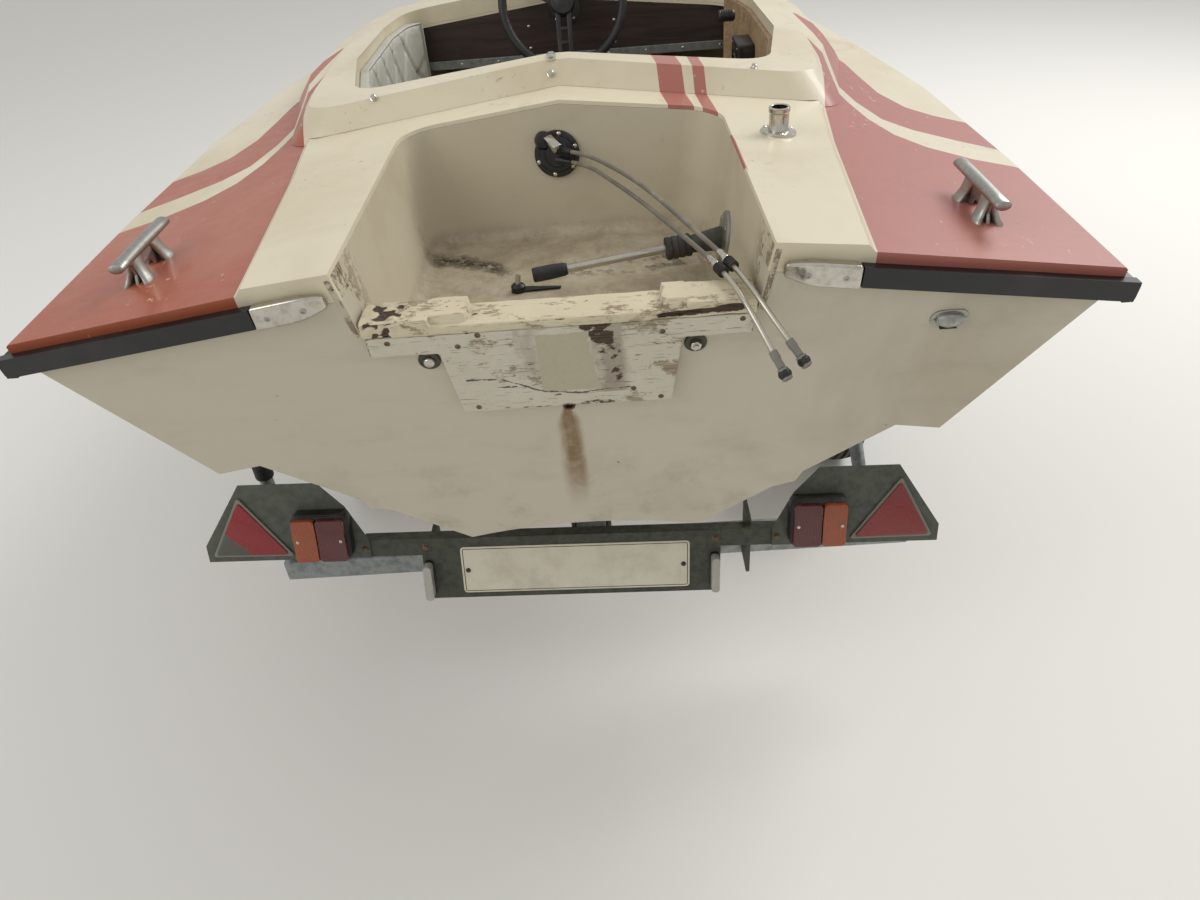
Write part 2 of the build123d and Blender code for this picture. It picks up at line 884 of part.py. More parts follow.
# Two control cables, free from the gland to their end fittings: points of their routes in the boat
upper_route = [(103, 450, 558), (143, 365, 558), (180, 272, 554), (214, 185, 548),
               (244, 110, 543), (264, 44, 541), (279, -17, 538), (298, -56, 517), (320, -82, 490)]
lower_route = [(95, 440, 539), (132, 352, 541), (168, 258, 541), (201, 170, 540),
               (229, 96, 539), (247, 36, 538), (260, -22, 536), (277, -64, 513), (296, -94, 481)]
cable_plan = [("cable_upper", upper_route, nose_spread), ("cable_lower", lower_route, -nose_spread)]
end_parts = []
sleeve_parts = []
for label, route, rise in cable_plan:
    start = boot_front + Vector(0, 0, rise) + nose_way * nose_long
    points = [start, start + nose_way * first_run] + [boat(*place) for place in route]
    runs = [b - a for a, b in zip(points, points[1:])]
    radii = [bend_share * min(a.length, b.length) / tan(radians(a.get_angle(b) / 2))
             for a, b in zip(runs, runs[1:])]
    with BuildPart() as cable:
        with BuildLine() as path:
            FilletPolyline(*points, radius=radii)
        with BuildSketch(Plane(origin=points[0], z_dir=runs[0])):
            Circle(cable_radius)
        sweep()
    save(cable.part, label)
    with BuildPart() as sleeve:
        middle, way = points[sleeve_run] + runs[sleeve_run] / 2, runs[sleeve_run].normalized()
        for radius, length, shift in sleeve_plan:
            with Locations(Plane(origin=middle + way * shift, z_dir=way)):
                Cylinder(radius, length)
        with Locations(Plane(origin=middle, z_dir=way)):
            Cylinder(cable_radius + sleeve_play, beyond / 10, mode=Mode.SUBTRACT)
    sleeve_parts.append(sleeve.part)
    with BuildPart() as fitting:
        way = runs[-1].normalized()
        with Locations(Plane(origin=points[-1], z_dir=way)):
            Cylinder(end_radius, end_long, align=on_foot)
        with Locations(points[-1] + way * end_ball_at):
            Sphere(end_ball)
    end_parts.append(fitting.part)

with BuildPart() as cable_sleeves:
    for part in sleeve_parts:
        add(part)
save(cable_sleeves.part, "cable_sleeves")

with BuildPart() as cable_ends:
    for part in end_parts:
        add(part)
save(cable_ends.part, "cable_ends")

# Steering guide on the well's wall, with the rod that slides in it
with BuildPart() as steering_guide:
    with Locations(Plane(origin=flange_face + wall_in * (flange_thick / 2 + seat_gap), z_dir=wall_in)):
        Cylinder(flange_radius, flange_thick)
    with Locations(Plane(origin=flange_face, z_dir=rod_way)):
        Cylinder(guide_radius, guide_out, align=on_foot)
        Cylinder(guide_radius, guide_in, align=(Align.CENTER, Align.CENTER, Align.MAX))
    with Locations(Plane(origin=flange_face + rod_way * guide_out, z_dir=rod_way)):
        Cylinder(sleeve_radius, sleeve_long, align=on_foot)
    with Locations(Plane(origin=flange_face, z_dir=rod_way)):
        Cylinder(rod_radius + running_gap, beyond / 3, mode=Mode.SUBTRACT)
save(steering_guide.part, "steering_guide")

with BuildPart() as steering_rod:
    tip = flange_face + rod_way * rod_reach
    with Locations(Plane(origin=tip, z_dir=rod_way)):
        Cylinder(rod_radius, rod_reach + rod_inside, align=(Align.CENTER, Align.CENTER, Align.MAX))
        Cylinder(rod_end_radius, rod_end_long, align=(Align.CENTER, Align.CENTER, Align.MAX))
save(steering_rod.part, "steering_rod")

# Cockpit floor on two bearers
with BuildPart() as sole:
    with BuildSketch(boat_level(sole_level)):
        with BuildLine():
            edge = [(room_half(row, sole_level) - sole_gap, row.y) for row in stations[1:6]]
            Polyline(*edge, *[(-x, y) for x, y in reversed(edge)], close=True)
        make_face()
        with Locations((0, (sole_rear + sole_front) / 2)):
            Rectangle(beyond, sole_front - sole_rear, mode=Mode.INTERSECT)
    extrude(amount=sole_thick)
    bearer_low = keel_hollow + hull_wall + seat_gap
    for side in (1, -1):
        with Locations(boat(side * bearer_x, (sole_rear + sole_front) / 2, bearer_low)):
            Box(bearer_wide, sole_front - sole_rear, sole_level - bearer_low, align=on_foot)
save(sole.part, "sole")

# Bulkhead behind the cockpit with the bench's box on it, and the bench's two cushions
sole_top = sole_level + sole_thick
seat_rear = bulkhead_y + bulkhead_thick
with BuildPart() as seat_base:
    with BuildSketch(station_plane(bulkhead_y)):
        with BuildLine():
            Polyline(*mirrored([(bulkhead_foot_half, sole_top), (back_half, bulkhead_knee),
                                (back_half, side_top - bulkhead_short)]), close=True)
        make_face()
    extrude(amount=-bulkhead_thick)
    with Locations(boat(0, seat_rear + seat_deep / 2, sole_top)):
        Box(2 * seat_half, seat_deep, seat_board - sole_top, align=on_foot)
        Box(2 * (seat_half - bulkhead_thick), seat_deep - 2 * bulkhead_thick,
            seat_board - sole_top - bulkhead_thick, align=on_foot, mode=Mode.SUBTRACT)
save(seat_base.part, "seat_base")

with BuildPart() as seat_cushion:
    with Locations(boat(0, seat_rear + seat_gap + seat_deep / 2, seat_board + seat_gap)):
        Box(2 * seat_cushion_half, seat_deep, seat_cushion_high, align=on_foot)
    fillet(seat_cushion.edges(), radius=cushion_round)
save(seat_cushion.part, "seat_cushion")

with BuildPart() as back_cushion:
    back_low = seat_board + seat_cushion_high + 2 * seat_gap
    with Locations(boat(0, seat_rear + seat_gap + back_thick / 2, back_low)):
        Box(2 * back_half, back_thick, back_high, align=on_foot)
    fillet(back_cushion.edges(), radius=cushion_round)
save(back_cushion.part, "back_cushion")

# Padded lining on the port side, plain panel with an oval pocket on the starboard side
side_front = cockpit_front - side_thick - side_short
for label, side, thick in (("side_lining", -1, side_thick), ("side_panel", 1, panel_thick)):
    level = boat_level(side_low)
    with BuildPart() as strip:
        add(cockpit_sketch(level, -seat_gap) - cockpit_sketch(level, -seat_gap - thick))
        extrude(amount=side_top - side_low)
        with Locations(boat(side * (beyond / 2 + lining_inner), (side_rear + side_front) / 2, 0)):
            Box(beyond, side_front - side_rear, beyond, mode=Mode.INTERSECT)
        if side > 0:
            with BuildSketch(Plane.YZ):
                with Locations((stern_y + oval_y, keel_height + oval_level)):
                    SlotOverall(oval_long, oval_high)
            extrude(amount=beyond, mode=Mode.SUBTRACT)
    save(strip.part, label)

# Dash board across the front of the cockpit, with the strip along its lower edge
dash_face = cockpit_front + seat_gap
with BuildPart() as dashboard:
    with Locations(boat(0, dash_face + dash_thick / 2, dash_low)):
        Box(2 * cockpit_half_front, dash_thick, dash_high, align=on_foot)
    add(deck_under, mode=Mode.INTERSECT)
save(dashboard.part, "dashboard")

with BuildPart() as dash_strip:
    with Locations(boat(0, dash_face - dash_strip_thick / 2, dash_low)):
        Box(2 * (cockpit_half_front - dash_strip_short), dash_strip_thick, dash_strip_high)
save(dash_strip.part, "dash_strip")

# Steering wheel on its short column
helm_way = Vector(0, -cos(radians(wheel_lean)), sin(radians(wheel_lean)))
hub = boat(wheel_x, wheel_y, wheel_level)
column_long = (cockpit_front - wheel_y) / cos(radians(wheel_lean)) + column_in
with BuildPart() as steering_column:
    with Locations(Plane(origin=hub - helm_way * (helm_hub_long / 2 + helm_gap), z_dir=-helm_way)):
        Cylinder(column_radius, column_long, align=on_foot)
        Cylinder(shaft_radius + running_gap, shaft_long, align=on_foot, mode=Mode.SUBTRACT)
    with Locations(boat(wheel_x, cockpit_front - seat_gap, wheel_level)):
        Box(beyond, beyond, beyond, align=(Align.CENTER, Align.MIN, Align.CENTER), mode=Mode.SUBTRACT)
save(steering_column.part, "steering_column")

with BuildPart() as steering_wheel:
    plane = Plane(origin=hub, x_dir=(1, 0, 0), z_dir=helm_way)
    with BuildSketch(Plane(origin=hub, x_dir=(1, 0, 0), z_dir=plane.y_dir)):
        with Locations((helm_rim_radius, 0)):
            Circle(helm_rim_bar)
    revolve(axis=Axis(hub, helm_way))
    with Locations(plane):
        Cylinder(helm_hub_radius, helm_hub_long)
        Cylinder(shaft_radius, shaft_long, align=(Align.CENTER, Align.CENTER, Align.MAX))
    with BuildSketch(plane):
        with PolarLocations(helm_rim_radius / 2, helm_spokes, start_angle=-90):
            Rectangle(helm_rim_radius, helm_spoke_wide)
    extrude(amount=helm_spoke_thick)
save(steering_wheel.part, "steering_wheel")

# Throttle box and lever on the starboard panel
panel_face = cockpit_half_mid - 2 * seat_gap - panel_thick
with BuildPart() as throttle:
    with Locations(boat(panel_face - throttle_thick / 2, throttle_y, throttle_level)):
        Box(throttle_thick, throttle_long, throttle_high)
    fillet(throttle.faces().sort_by(Axis.X)[0].edges(), radius=throttle_round)
    lever_x, lever_z = panel_face - throttle_thick, throttle_level - lever_low
    with Locations(boat(lever_x - lever_thick / 2, throttle_y, lever_z)):
        Box(lever_thick, lever_wide, lever_long, align=on_foot)
    with Locations(Plane(origin=boat(lever_x, throttle_y, lever_z + lever_long), z_dir=(-1, 0, 0))):
        Cylinder(knob_radius, knob_long, align=on_foot)
save(throttle.part, "throttle")

# Raked wrap-round windscreen in its foot rail
screen_foot_block = station_loft(lambda row: deck_outline(row, rise=screen_rail))
with BuildPart() as windscreen:
    add(screen_band(screen_thick))
    add(screen_foot_block, mode=Mode.SUBTRACT)
save(windscreen.part, "windscreen")

with BuildPart() as screen_foot_rail:
    add(screen_band(screen_rail_thick))
    add(screen_foot_block, mode=Mode.INTERSECT)
    add(deck_seat, mode=Mode.SUBTRACT)
save(screen_foot_rail.part, "screen_rail")

# Where the bow roller stands against the stem
stem_low, stem_high = stations[-2], stations[-1]
stem_slope = (stem_high.keel_z - stem_low.keel_z) / (stem_high.y - stem_low.y)
stem_out = Vector(0, stem_slope, -1).normalized()
stem_point = ground(0, stem_low.y + stem_touch, keel_height + stem_low.keel_z + stem_touch * stem_slope)
bow_roller_at = stem_point + stem_out * (bow_roller_radius + bow_roller_gap)

# Guide posts: foot and head of each, starboard and port
guide_foot = pole_under - guide_weld
guide_plan = [(ground(foot_x, rear_cross_y, guide_foot), ground(head_x, rear_cross_y, guide_head))
              for foot_x, head_x in (guide_starboard, guide_port)]

# Trailer's pole, cross member, braces, roller ears, guide posts and the clamp of the jockey leg
pole_top = pole_under + pole_high
ears_long = roller_long + 2 * roller_play + 2 * ear_thick
with BuildPart() as trailer_frame:
    with Locations(ground(0, (pole_rear + pole_front) / 2, pole_under)):
        Box(pole_wide, pole_front - pole_rear, pole_high, align=on_foot)
    with Locations(ground(0, rear_cross_y, pole_under)):
        Box(2 * rear_cross_half, cross_tube, cross_tube, align=(Align.CENTER, Align.CENTER, Align.MAX))
    axle_face = axle_y + axle_tube / 2
    for side in (1, -1):
        with BuildSketch(ground_level(pole_under)):
            with BuildLine():
                Polyline((side * brace_face, brace_y), (side * (axle_half - brace_end), axle_face),
                         (side * (axle_half - brace_face), axle_face),
                         (side * brace_face, brace_y + brace_root), close=True)
            make_face()
        extrude(amount=-brace_wide)
    for row in roller_rows:
        pin_z = keel_height + roller_axis(row)
        for side in (1, -1):
            with Locations(ground(side * (ears_long - ear_thick) / 2, row.y, pole_top - ear_lap)):
                Box(ear_thick, ear_wide, pin_z - pole_top + 2 * ear_lap, align=on_foot)
        with Locations(ground(0, row.y, pole_top - ear_lap)):
            Box(ears_long, ear_wide, ear_lap, align=on_foot)
        with Locations(across(ground(0, row.y, pin_z))):
            Cylinder(roller_pin, ears_long)
    for foot, head in guide_plan:
        add(post(foot, head, guide_post_radius))
    with Locations(ground(pole_wide / 2, jockey_y, pole_under + pole_high / 2)):
        Box(jockey_x - pole_wide / 2 + jockey_outer + jockey_clamp_wall, jockey_clamp_long, jockey_clamp_high,
            align=(Align.MIN, Align.CENTER, Align.CENTER))
    with Locations(ground(jockey_x, jockey_y, pole_under)):
        Cylinder(jockey_outer, beyond / 6, mode=Mode.SUBTRACT)
save(trailer_frame.part, "trailer_frame")

roller_plan = [(ground(0, row.y, keel_height + roller_axis(row)), roller_radius) for row in roller_rows]
roller_plan.append((bow_roller_at, bow_roller_radius))
with BuildPart() as rollers:
    for place, radius in roller_plan:
        with Locations(across(place)):
            Cylinder(radius, roller_long)
            Cylinder(roller_pin, 2 * roller_long, mode=Mode.SUBTRACT)
save(rollers.part, "rollers")

# Axle with its drop plates, stub shafts, mudguard brackets, and the posts under the bottom panels
bunk_share = (bunk_x - stations[2].keel_half) / (chine_inner(stations[2])[0] - stations[2].keel_half)
bunk_z = bunk_share * chine_inner(stations[2])[1]
wheel_z = wheel_radius
guard_radius = wheel_radius + guard_gap
guard_under = wheel_z + guard_radius - guard_seat
with BuildPart() as axle:
    with Locations(ground(0, axle_y, pole_under)):
        Box(2 * axle_half, axle_tube, axle_tube, align=(Align.CENTER, Align.CENTER, Align.MAX))
    for side in (1, -1):
        with Locations(ground(side * (axle_half + drop_thick / 2), axle_y, (pole_under + wheel_z) / 2)):
            Box(drop_thick, drop_long, pole_under - wheel_z + drop_over)
        with Locations(Plane(origin=ground(side * axle_half, axle_y, wheel_z), z_dir=(side, 0, 0))):
            Cylinder(stub_radius, wheel_track_half + stub_past - axle_half, align=on_foot)
        with Locations(ground(side * (axle_half + drop_thick - bracket_thick / 2), axle_y, pole_under)):
            Box(bracket_thick, bracket_wide, guard_under - pole_under, align=on_foot)
        with Locations(ground(side * (axle_half + drop_thick - bracket_thick), axle_y, guard_under)):
            Box(guard_arm, bracket_wide, bracket_thick,
                align=(Align.MIN if side > 0 else Align.MAX, Align.CENTER, Align.MAX))
        with Locations(ground(side * bunk_x, axle_y, pole_under)):
            Cylinder(bunk_post_radius, keel_height + bunk_z - pole_under - bunk_pad_thick, align=on_foot)
save(axle.part, "axle")

for side, label in ((1, "starboard"), (-1, "port")):
    centre = ground(side * wheel_track_half, axle_y, wheel_z)
    half_tyre, half_rim = tyre_wide / 2, rim_wide / 2
    section = [(rim_radius, half_rim), (rim_radius + tyre_bulge, half_tyre),
               (wheel_radius - tyre_shoulder, half_tyre), (wheel_radius, half_tyre - tyre_shoulder)]
    with BuildPart() as tyre:
        with BuildSketch(Plane(origin=centre, x_dir=(0, 0, 1), z_dir=(0, 1, 0))):
            with BuildLine():
                Polyline(*section, *[(out, -half) for out, half in reversed(section)], close=True)
            make_face()
        revolve(axis=Axis(centre, (1, 0, 0)))
    save(tyre.part, "tyre_" + label)
    with BuildPart() as rim:
        with Locations(across(centre)):
            Cylinder(rim_radius, rim_wide)
            Cylinder(rim_radius - rim_wall, rim_wide, mode=Mode.SUBTRACT)
            Cylinder(rim_radius - rim_wall / 2, disc_thick)
            Cylinder(hub_radius, hub_long)
        with Locations(Plane(origin=centre, z_dir=(-side, 0, 0))):
            Cylinder(stub_radius + running_gap, hub_long, align=on_foot, mode=Mode.SUBTRACT)
            Cylinder(stub_radius + running_gap, stub_past + stub_end_gap,
                     align=(Align.CENTER, Align.CENTER, Align.MAX), mode=Mode.SUBTRACT)
    save(rim.part, "rim_" + label)

with BuildPart() as mudguards:
    for side in (1, -1):
        centre = ground(side * wheel_track_half, axle_y, wheel_z)
        with BuildSketch(Plane(origin=centre, x_dir=(0, 1, 0), z_dir=(1, 0, 0))):
            Circle(guard_radius + guard_thick + seat_gap)
            Circle(guard_radius + seat_gap, mode=Mode.SUBTRACT)
            with Locations((0, guard_foot - guard_radius)):
                Rectangle(3 * guard_radius, 2 * guard_radius, mode=Mode.SUBTRACT)
        extrude(amount=guard_wide / 2, both=True)
save(mudguards.part, "mudguards")

# Rubber pads on the axle's posts, and rubber tops on the guide posts
with BuildPart() as post_rubbers:
    for side in (1, -1):
        with Locations(ground(side * bunk_x, axle_y, keel_height + bunk_z - bunk_pad_thick)):
            Box(bunk_pad_wide, bunk_pad_long, 2 * bunk_pad_thick, align=on_foot)
    add(Pos(0, 0, -2 * seat_gap) * hull_block, mode=Mode.SUBTRACT)
    for foot, head in guide_plan:
        way = (head - foot).normalized()
        add(post(head, head + way * guide_top_long, guide_top_radius))
save(post_rubbers.part, "post_rubbers")

# Winch post with the arms of the bow roller and the winch's cheeks
cheeks_long = drum_long + 2 * drum_play + 2 * ear_thick
with BuildPart() as winch_frame:
    arm_z = bow_roller_at.Z
    with Locations(ground(0, winch_y, pole_top)):
        Box(winch_post, winch_post, arm_z + arm_lap - pole_top, align=on_foot)
    for side in (1, -1):
        with Locations(Vector(side * (ears_long - ear_thick) / 2, bow_roller_at.Y - arm_past, arm_z)):
            Box(ear_thick, stern_y + winch_y - bow_roller_at.Y + arm_past + arm_lap, arm_high,
                align=(Align.CENTER, Align.MIN, Align.CENTER))
        with Locations(ground(side * (cheeks_long - ear_thick) / 2, winch_y - winch_post / 2, winch_level)):
            Box(ear_thick, drum_reach + cheek_past, cheek_high, align=(Align.CENTER, Align.MAX, Align.CENTER))
    with Locations(ground(0, winch_y, arm_z)):
        Box(ears_long, winch_post, arm_high)
    with Locations(ground(0, winch_y - winch_post / 2, winch_level)):
        Box(cheeks_long, cheek_plate, cheek_high, align=(Align.CENTER, Align.MAX, Align.CENTER))
    with Locations(across(bow_roller_at)):
        Cylinder(roller_pin, ears_long)
    drum_at = ground(0, winch_y - winch_post / 2 - drum_reach, winch_level)
    with Locations(across(drum_at)):
        Cylinder(drum_shaft + running_gap, beyond / 10, mode=Mode.SUBTRACT)
save(winch_frame.part, "winch_frame")

with BuildPart() as winch_drum:
    crank_x = drum_long / 2 + ear_thick + shaft_past
    with Locations(across(drum_at)):
        Cylinder(drum_radius, drum_long)
        Cylinder(drum_shaft, 2 * crank_x)
    with Locations(drum_at + Vector(crank_x, 0, crank_over)):
        Box(crank_thick, crank_wide, crank_long + 2 * crank_over,
            align=(Align.CENTER, Align.CENTER, Align.MAX))
    with Locations(across(drum_at + Vector(crank_x, 0, -crank_long))):
        Cylinder(grip_radius, grip_long, align=on_foot)
save(winch_drum.part, "winch_drum")

# Bow eye on the stem and the webbing from the drum to it
eye_low = stations[-3]
eye_slope = (stem_low.keel_z - eye_low.keel_z) / (stem_low.y - eye_low.y)
eye_step = eye_share * (stem_low.y - eye_low.y)
eye_foot = boat(0, eye_low.y + eye_step, eye_low.keel_z + eye_step * eye_slope)
eye_out = Vector(0, eye_slope, -1).normalized()
with BuildPart() as bow_eye:
    with Locations(Plane(origin=eye_foot - eye_out * eye_root, z_dir=eye_out)):
        Cylinder(eye_bar, eye_long, align=on_foot)
    with Locations(across(eye_foot + eye_out * eye_ring_at)):
        Torus(eye_ring, eye_ring_bar)
    add(hull_block, mode=Mode.SUBTRACT)
save(bow_eye.part, "bow_eye")

strap_head = drum_at + Vector(0, 0, drum_radius + strap_thick / 2 + seat_gap)
strap_tail = eye_foot + eye_out * eye_ring_at
strap_way = (strap_tail - strap_head).normalized()
strap_reach = (strap_tail - strap_head).length - strap_short
hook_at = strap_head + strap_way * (strap_reach - hook_long)
with BuildPart() as winch_strap:
    with Locations(Plane(origin=strap_head, x_dir=(1, 0, 0), z_dir=strap_way)):
        Box(strap_wide, strap_thick, strap_reach, align=on_foot)
    with Locations(Plane(origin=hook_at, x_dir=(1, 0, 0), z_dir=strap_way)):
        Box(hook_wide, hook_thick, hook_long, align=on_foot)
save(winch_strap.part, "winch_strap")

# Ball coupling on the pole's front end
with BuildPart() as coupling:
    nose_y = pole_front + coupling_reach - coupling_round
    with Locations(ground(0, pole_front, pole_under + pole_high / 2)):
        Box(pole_wide, nose_y - pole_front, pole_high - 2 * coupling_slim,
            align=(Align.CENTER, Align.MIN, Align.CENTER))
    with Locations(ground(0, nose_y, pole_under + coupling_slim)):
        Cylinder(coupling_round, pole_high - coupling_slim, align=on_foot)
        Cylinder(ball_radius + ball_play, socket_deep, align=on_foot, mode=Mode.SUBTRACT)
    with Locations(ground(0, pole_front + handle_at, pole_top - coupling_slim)):
        Box(handle_wide, handle_long, handle_high, align=(Align.CENTER, Align.MIN, Align.MIN))
save(coupling.part, "coupling")

# Jockey leg: outer tube, sliding leg, swivelling fork and wheel
jockey_bore = jockey_outer - jockey_wall
leg_radius = jockey_bore - running_gap
with BuildPart() as jockey_tube:
    with Locations(ground(jockey_x, jockey_y, jockey_low)):
        Cylinder(jockey_outer, jockey_top - jockey_low, align=on_foot)
        Cylinder(jockey_bore, jockey_top - jockey_low - jockey_cap, align=on_foot, mode=Mode.SUBTRACT)
    with Locations(ground(jockey_x, jockey_y, jockey_top)):
        Cylinder(winder_pin, winder_rise, align=on_foot)
        Box(winder_wide, winder_long, winder_thick, align=(Align.CENTER, Align.MIN, Align.MIN))
    with Locations(ground(jockey_x, jockey_y + winder_knob_at, jockey_top)):
        Cylinder(winder_knob, winder_knob_high, align=on_foot)
save(jockey_tube.part, "jockey_tube")

fork_top = 2 * jockey_wheel + fork_clear
with BuildPart() as jockey_leg:
    with Locations(ground(jockey_x, jockey_y, fork_top + swivel_gap)):
        Cylinder(leg_radius, leg_long, align=on_foot)
        Cylinder(swivel_radius + running_gap, swivel_long + swivel_spare, align=on_foot, mode=Mode.SUBTRACT)
save(jockey_leg.part, "jockey_leg")

cheek_x = jockey_tread / 2 + fork_cheek_gap
cheek_low = jockey_wheel - fork_cheek_low
axle_at = ground(jockey_x, jockey_y - jockey_trail, jockey_wheel)
with BuildPart() as jockey_fork:
    with Locations(ground(jockey_x, jockey_y, fork_top)):
        Cylinder(swivel_radius, swivel_long, align=on_foot)
    with Locations(ground(jockey_x, jockey_y - jockey_trail / 2, fork_top)):
        Box(2 * (cheek_x + fork_lip), fork_long + jockey_trail, fork_plate,
            align=(Align.CENTER, Align.CENTER, Align.MAX))
    for side in (1, -1):
        with Locations(ground(jockey_x + side * cheek_x, jockey_y - jockey_trail, cheek_low)):
            Box(fork_cheek, fork_cheek_long, fork_top - cheek_low - fork_lap, align=on_foot)
    with Locations(across(axle_at)):
        Cylinder(jockey_pin, 2 * cheek_x + jockey_pin_past)
save(jockey_fork.part, "jockey_fork")

with BuildPart() as jockey_roller:
    with Locations(across(axle_at)):
        Cylinder(jockey_wheel, jockey_tread - jockey_slim)
        Cylinder(jockey_pin + running_gap, jockey_tread, mode=Mode.SUBTRACT)
    fillet(jockey_roller.edges().group_by(SortBy.LENGTH)[-1], radius=jockey_round)
save(jockey_roller.part, "jockey_wheel")

# Lamp boards on a beam, with the plate between them
board_at = Plane(Location(ground(board_shift, board_y, board_level)) * Location((0, 0, 0), (90, 0, 0)))
board_plane = Plane(board_at.location * Rot(X=-board_lean) * Rot(Z=-board_roll))

with BuildPart() as light_beam:
    add(board_sheet(box_outline(-beam_half, beam_half, 0, beam_high), -beam_deep, beam_deep))
    carrier = box_outline(-carrier_long / 2, carrier_long / 2, -carrier_drop, beam_high)
    add(board_sheet(carrier, 0, board_thick))
    arm_aft, arm_fore = board_y + carrier_arm_gap, rear_cross_y - cross_tube / 2
    for side in (1, -1):
        with Locations(ground(side * carrier_arm_x, arm_aft, pole_under - carrier_arm_low)):
            Box(carrier_arm_thick, arm_fore - arm_aft, carrier_arm_high,
                align=(Align.CENTER, Align.MIN, Align.MIN))
save(light_beam.part, "light_beam")

with BuildPart() as lamp_boards:
    for side in (1, -1):
        add(board_sheet([(side * x, z) for x, z in lamp_outline], 0, board_thick))
save(lamp_boards.part, "lamp_boards")

with BuildPart() as number_plate:
    plate_top = beam_high - plate_drop
    plate_end = plate_shift + plate_long / 2
    plate = box_outline(plate_end - plate_long, plate_end, plate_top - plate_high, plate_top)
    add(board_sheet(plate, board_thick, plate_thick))
save(number_plate.part, "number_plate")

marker_x = carrier_long / 2 - marker_edge
lamp_plan = [(box_outline(lamp_inner, lamp_outer, lamp_low, lamp_low + lamp_high), lamp_deep),
             (box_outline(marker_x - marker_wide, marker_x, marker_low, marker_top), marker_deep)]
with BuildPart() as lamps:
    for side in (1, -1):
        for outline, deep in lamp_plan:
            add(board_sheet([(side * x, z) for x, z in outline], board_thick, deep))
save(lamps.part, "lamps")

with BuildPart() as reflectors:
    for side in (1, -1):
        add(board_sheet([(side * x, z) for x, z in reflector_outline], board_thick, reflector_thick))
save(reflectors.part, "reflectors")
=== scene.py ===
import json
import math

import bmesh
import bpy
from mathutils import Matrix, Vector, noise
from mathutils.bvhtree import BVHTree


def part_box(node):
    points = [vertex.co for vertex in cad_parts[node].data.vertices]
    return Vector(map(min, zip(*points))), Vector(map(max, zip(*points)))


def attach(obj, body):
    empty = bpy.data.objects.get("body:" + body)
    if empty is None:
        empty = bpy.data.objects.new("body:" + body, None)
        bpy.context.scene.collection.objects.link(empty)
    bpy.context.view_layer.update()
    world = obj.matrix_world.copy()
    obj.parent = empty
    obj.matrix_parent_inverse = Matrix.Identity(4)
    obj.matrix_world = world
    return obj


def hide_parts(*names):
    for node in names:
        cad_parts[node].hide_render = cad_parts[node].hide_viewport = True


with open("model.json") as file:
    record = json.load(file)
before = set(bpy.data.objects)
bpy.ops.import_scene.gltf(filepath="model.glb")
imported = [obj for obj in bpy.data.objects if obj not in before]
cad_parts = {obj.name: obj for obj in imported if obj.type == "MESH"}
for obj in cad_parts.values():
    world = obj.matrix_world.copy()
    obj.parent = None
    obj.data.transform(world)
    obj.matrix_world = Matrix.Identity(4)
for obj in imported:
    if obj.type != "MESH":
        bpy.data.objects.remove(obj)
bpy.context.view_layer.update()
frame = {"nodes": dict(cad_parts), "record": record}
nodes = frame["nodes"]
record = frame["record"]
scene = bpy.context.scene
root = "boat_on_trailer"    # the body that doesn't move

# the boat's own zero: middle of the transom's foot, in the row frame
boatZero = Vector((0, -2.45328, 0.620))


def boat(x, y, z):
    # millimetres from the boat's zero to metres in the row frame
    return boatZero + Vector((x, y, z)) / 1000


def ground(x, y, z):
    # the same with the height over the floor
    return Vector((x / 1000, boatZero.y + y / 1000, z / 1000))


# the transom's plane leans aft as it rises
transom = {"rake": math.radians(12), "foot": 503.8}
transomOut = Vector((0, -math.cos(transom["rake"]), -math.sin(transom["rake"])))


def onTransom(x, z, proud=0.0):
    spot = boat(x, (transom["foot"] - z) * math.tan(transom["rake"]), z)
    return spot + transomOut * proud / 1000


# camera
view = {"place": (0.0881, -3.6137, 1.7464), "pitch": 0.638791, "yaw": -0.0377126, "roll": 0.0869752,
        "focal": 901 / 1200 * 36}


def addCamera():
    cosP, sinP = math.cos(view["pitch"]), math.sin(view["pitch"])
    cosY, sinY = math.cos(view["yaw"]), math.sin(view["yaw"])
    ahead = Vector((cosP * sinY, cosP * cosY, -sinP))
    level = Vector((cosY, -sinY, 0))
    down = ahead.cross(level)
    cosR, sinR = math.cos(view["roll"]), math.sin(view["roll"])
    right = cosR * level + sinR * down
    under = -sinR * level + cosR * down
    lens = bpy.data.cameras.new("camera")
    lens.sensor_width = 36
    lens.lens = view["focal"]
    camera = bpy.data.objects.new("camera", lens)
    turn = Matrix((right, -under, -ahead)).transposed()
    camera.matrix_world = Matrix.Translation(view["place"]) @ turn.to_4x4()
    scene.collection.objects.link(camera)
    scene.camera = camera


addCamera()
print("camera placed")


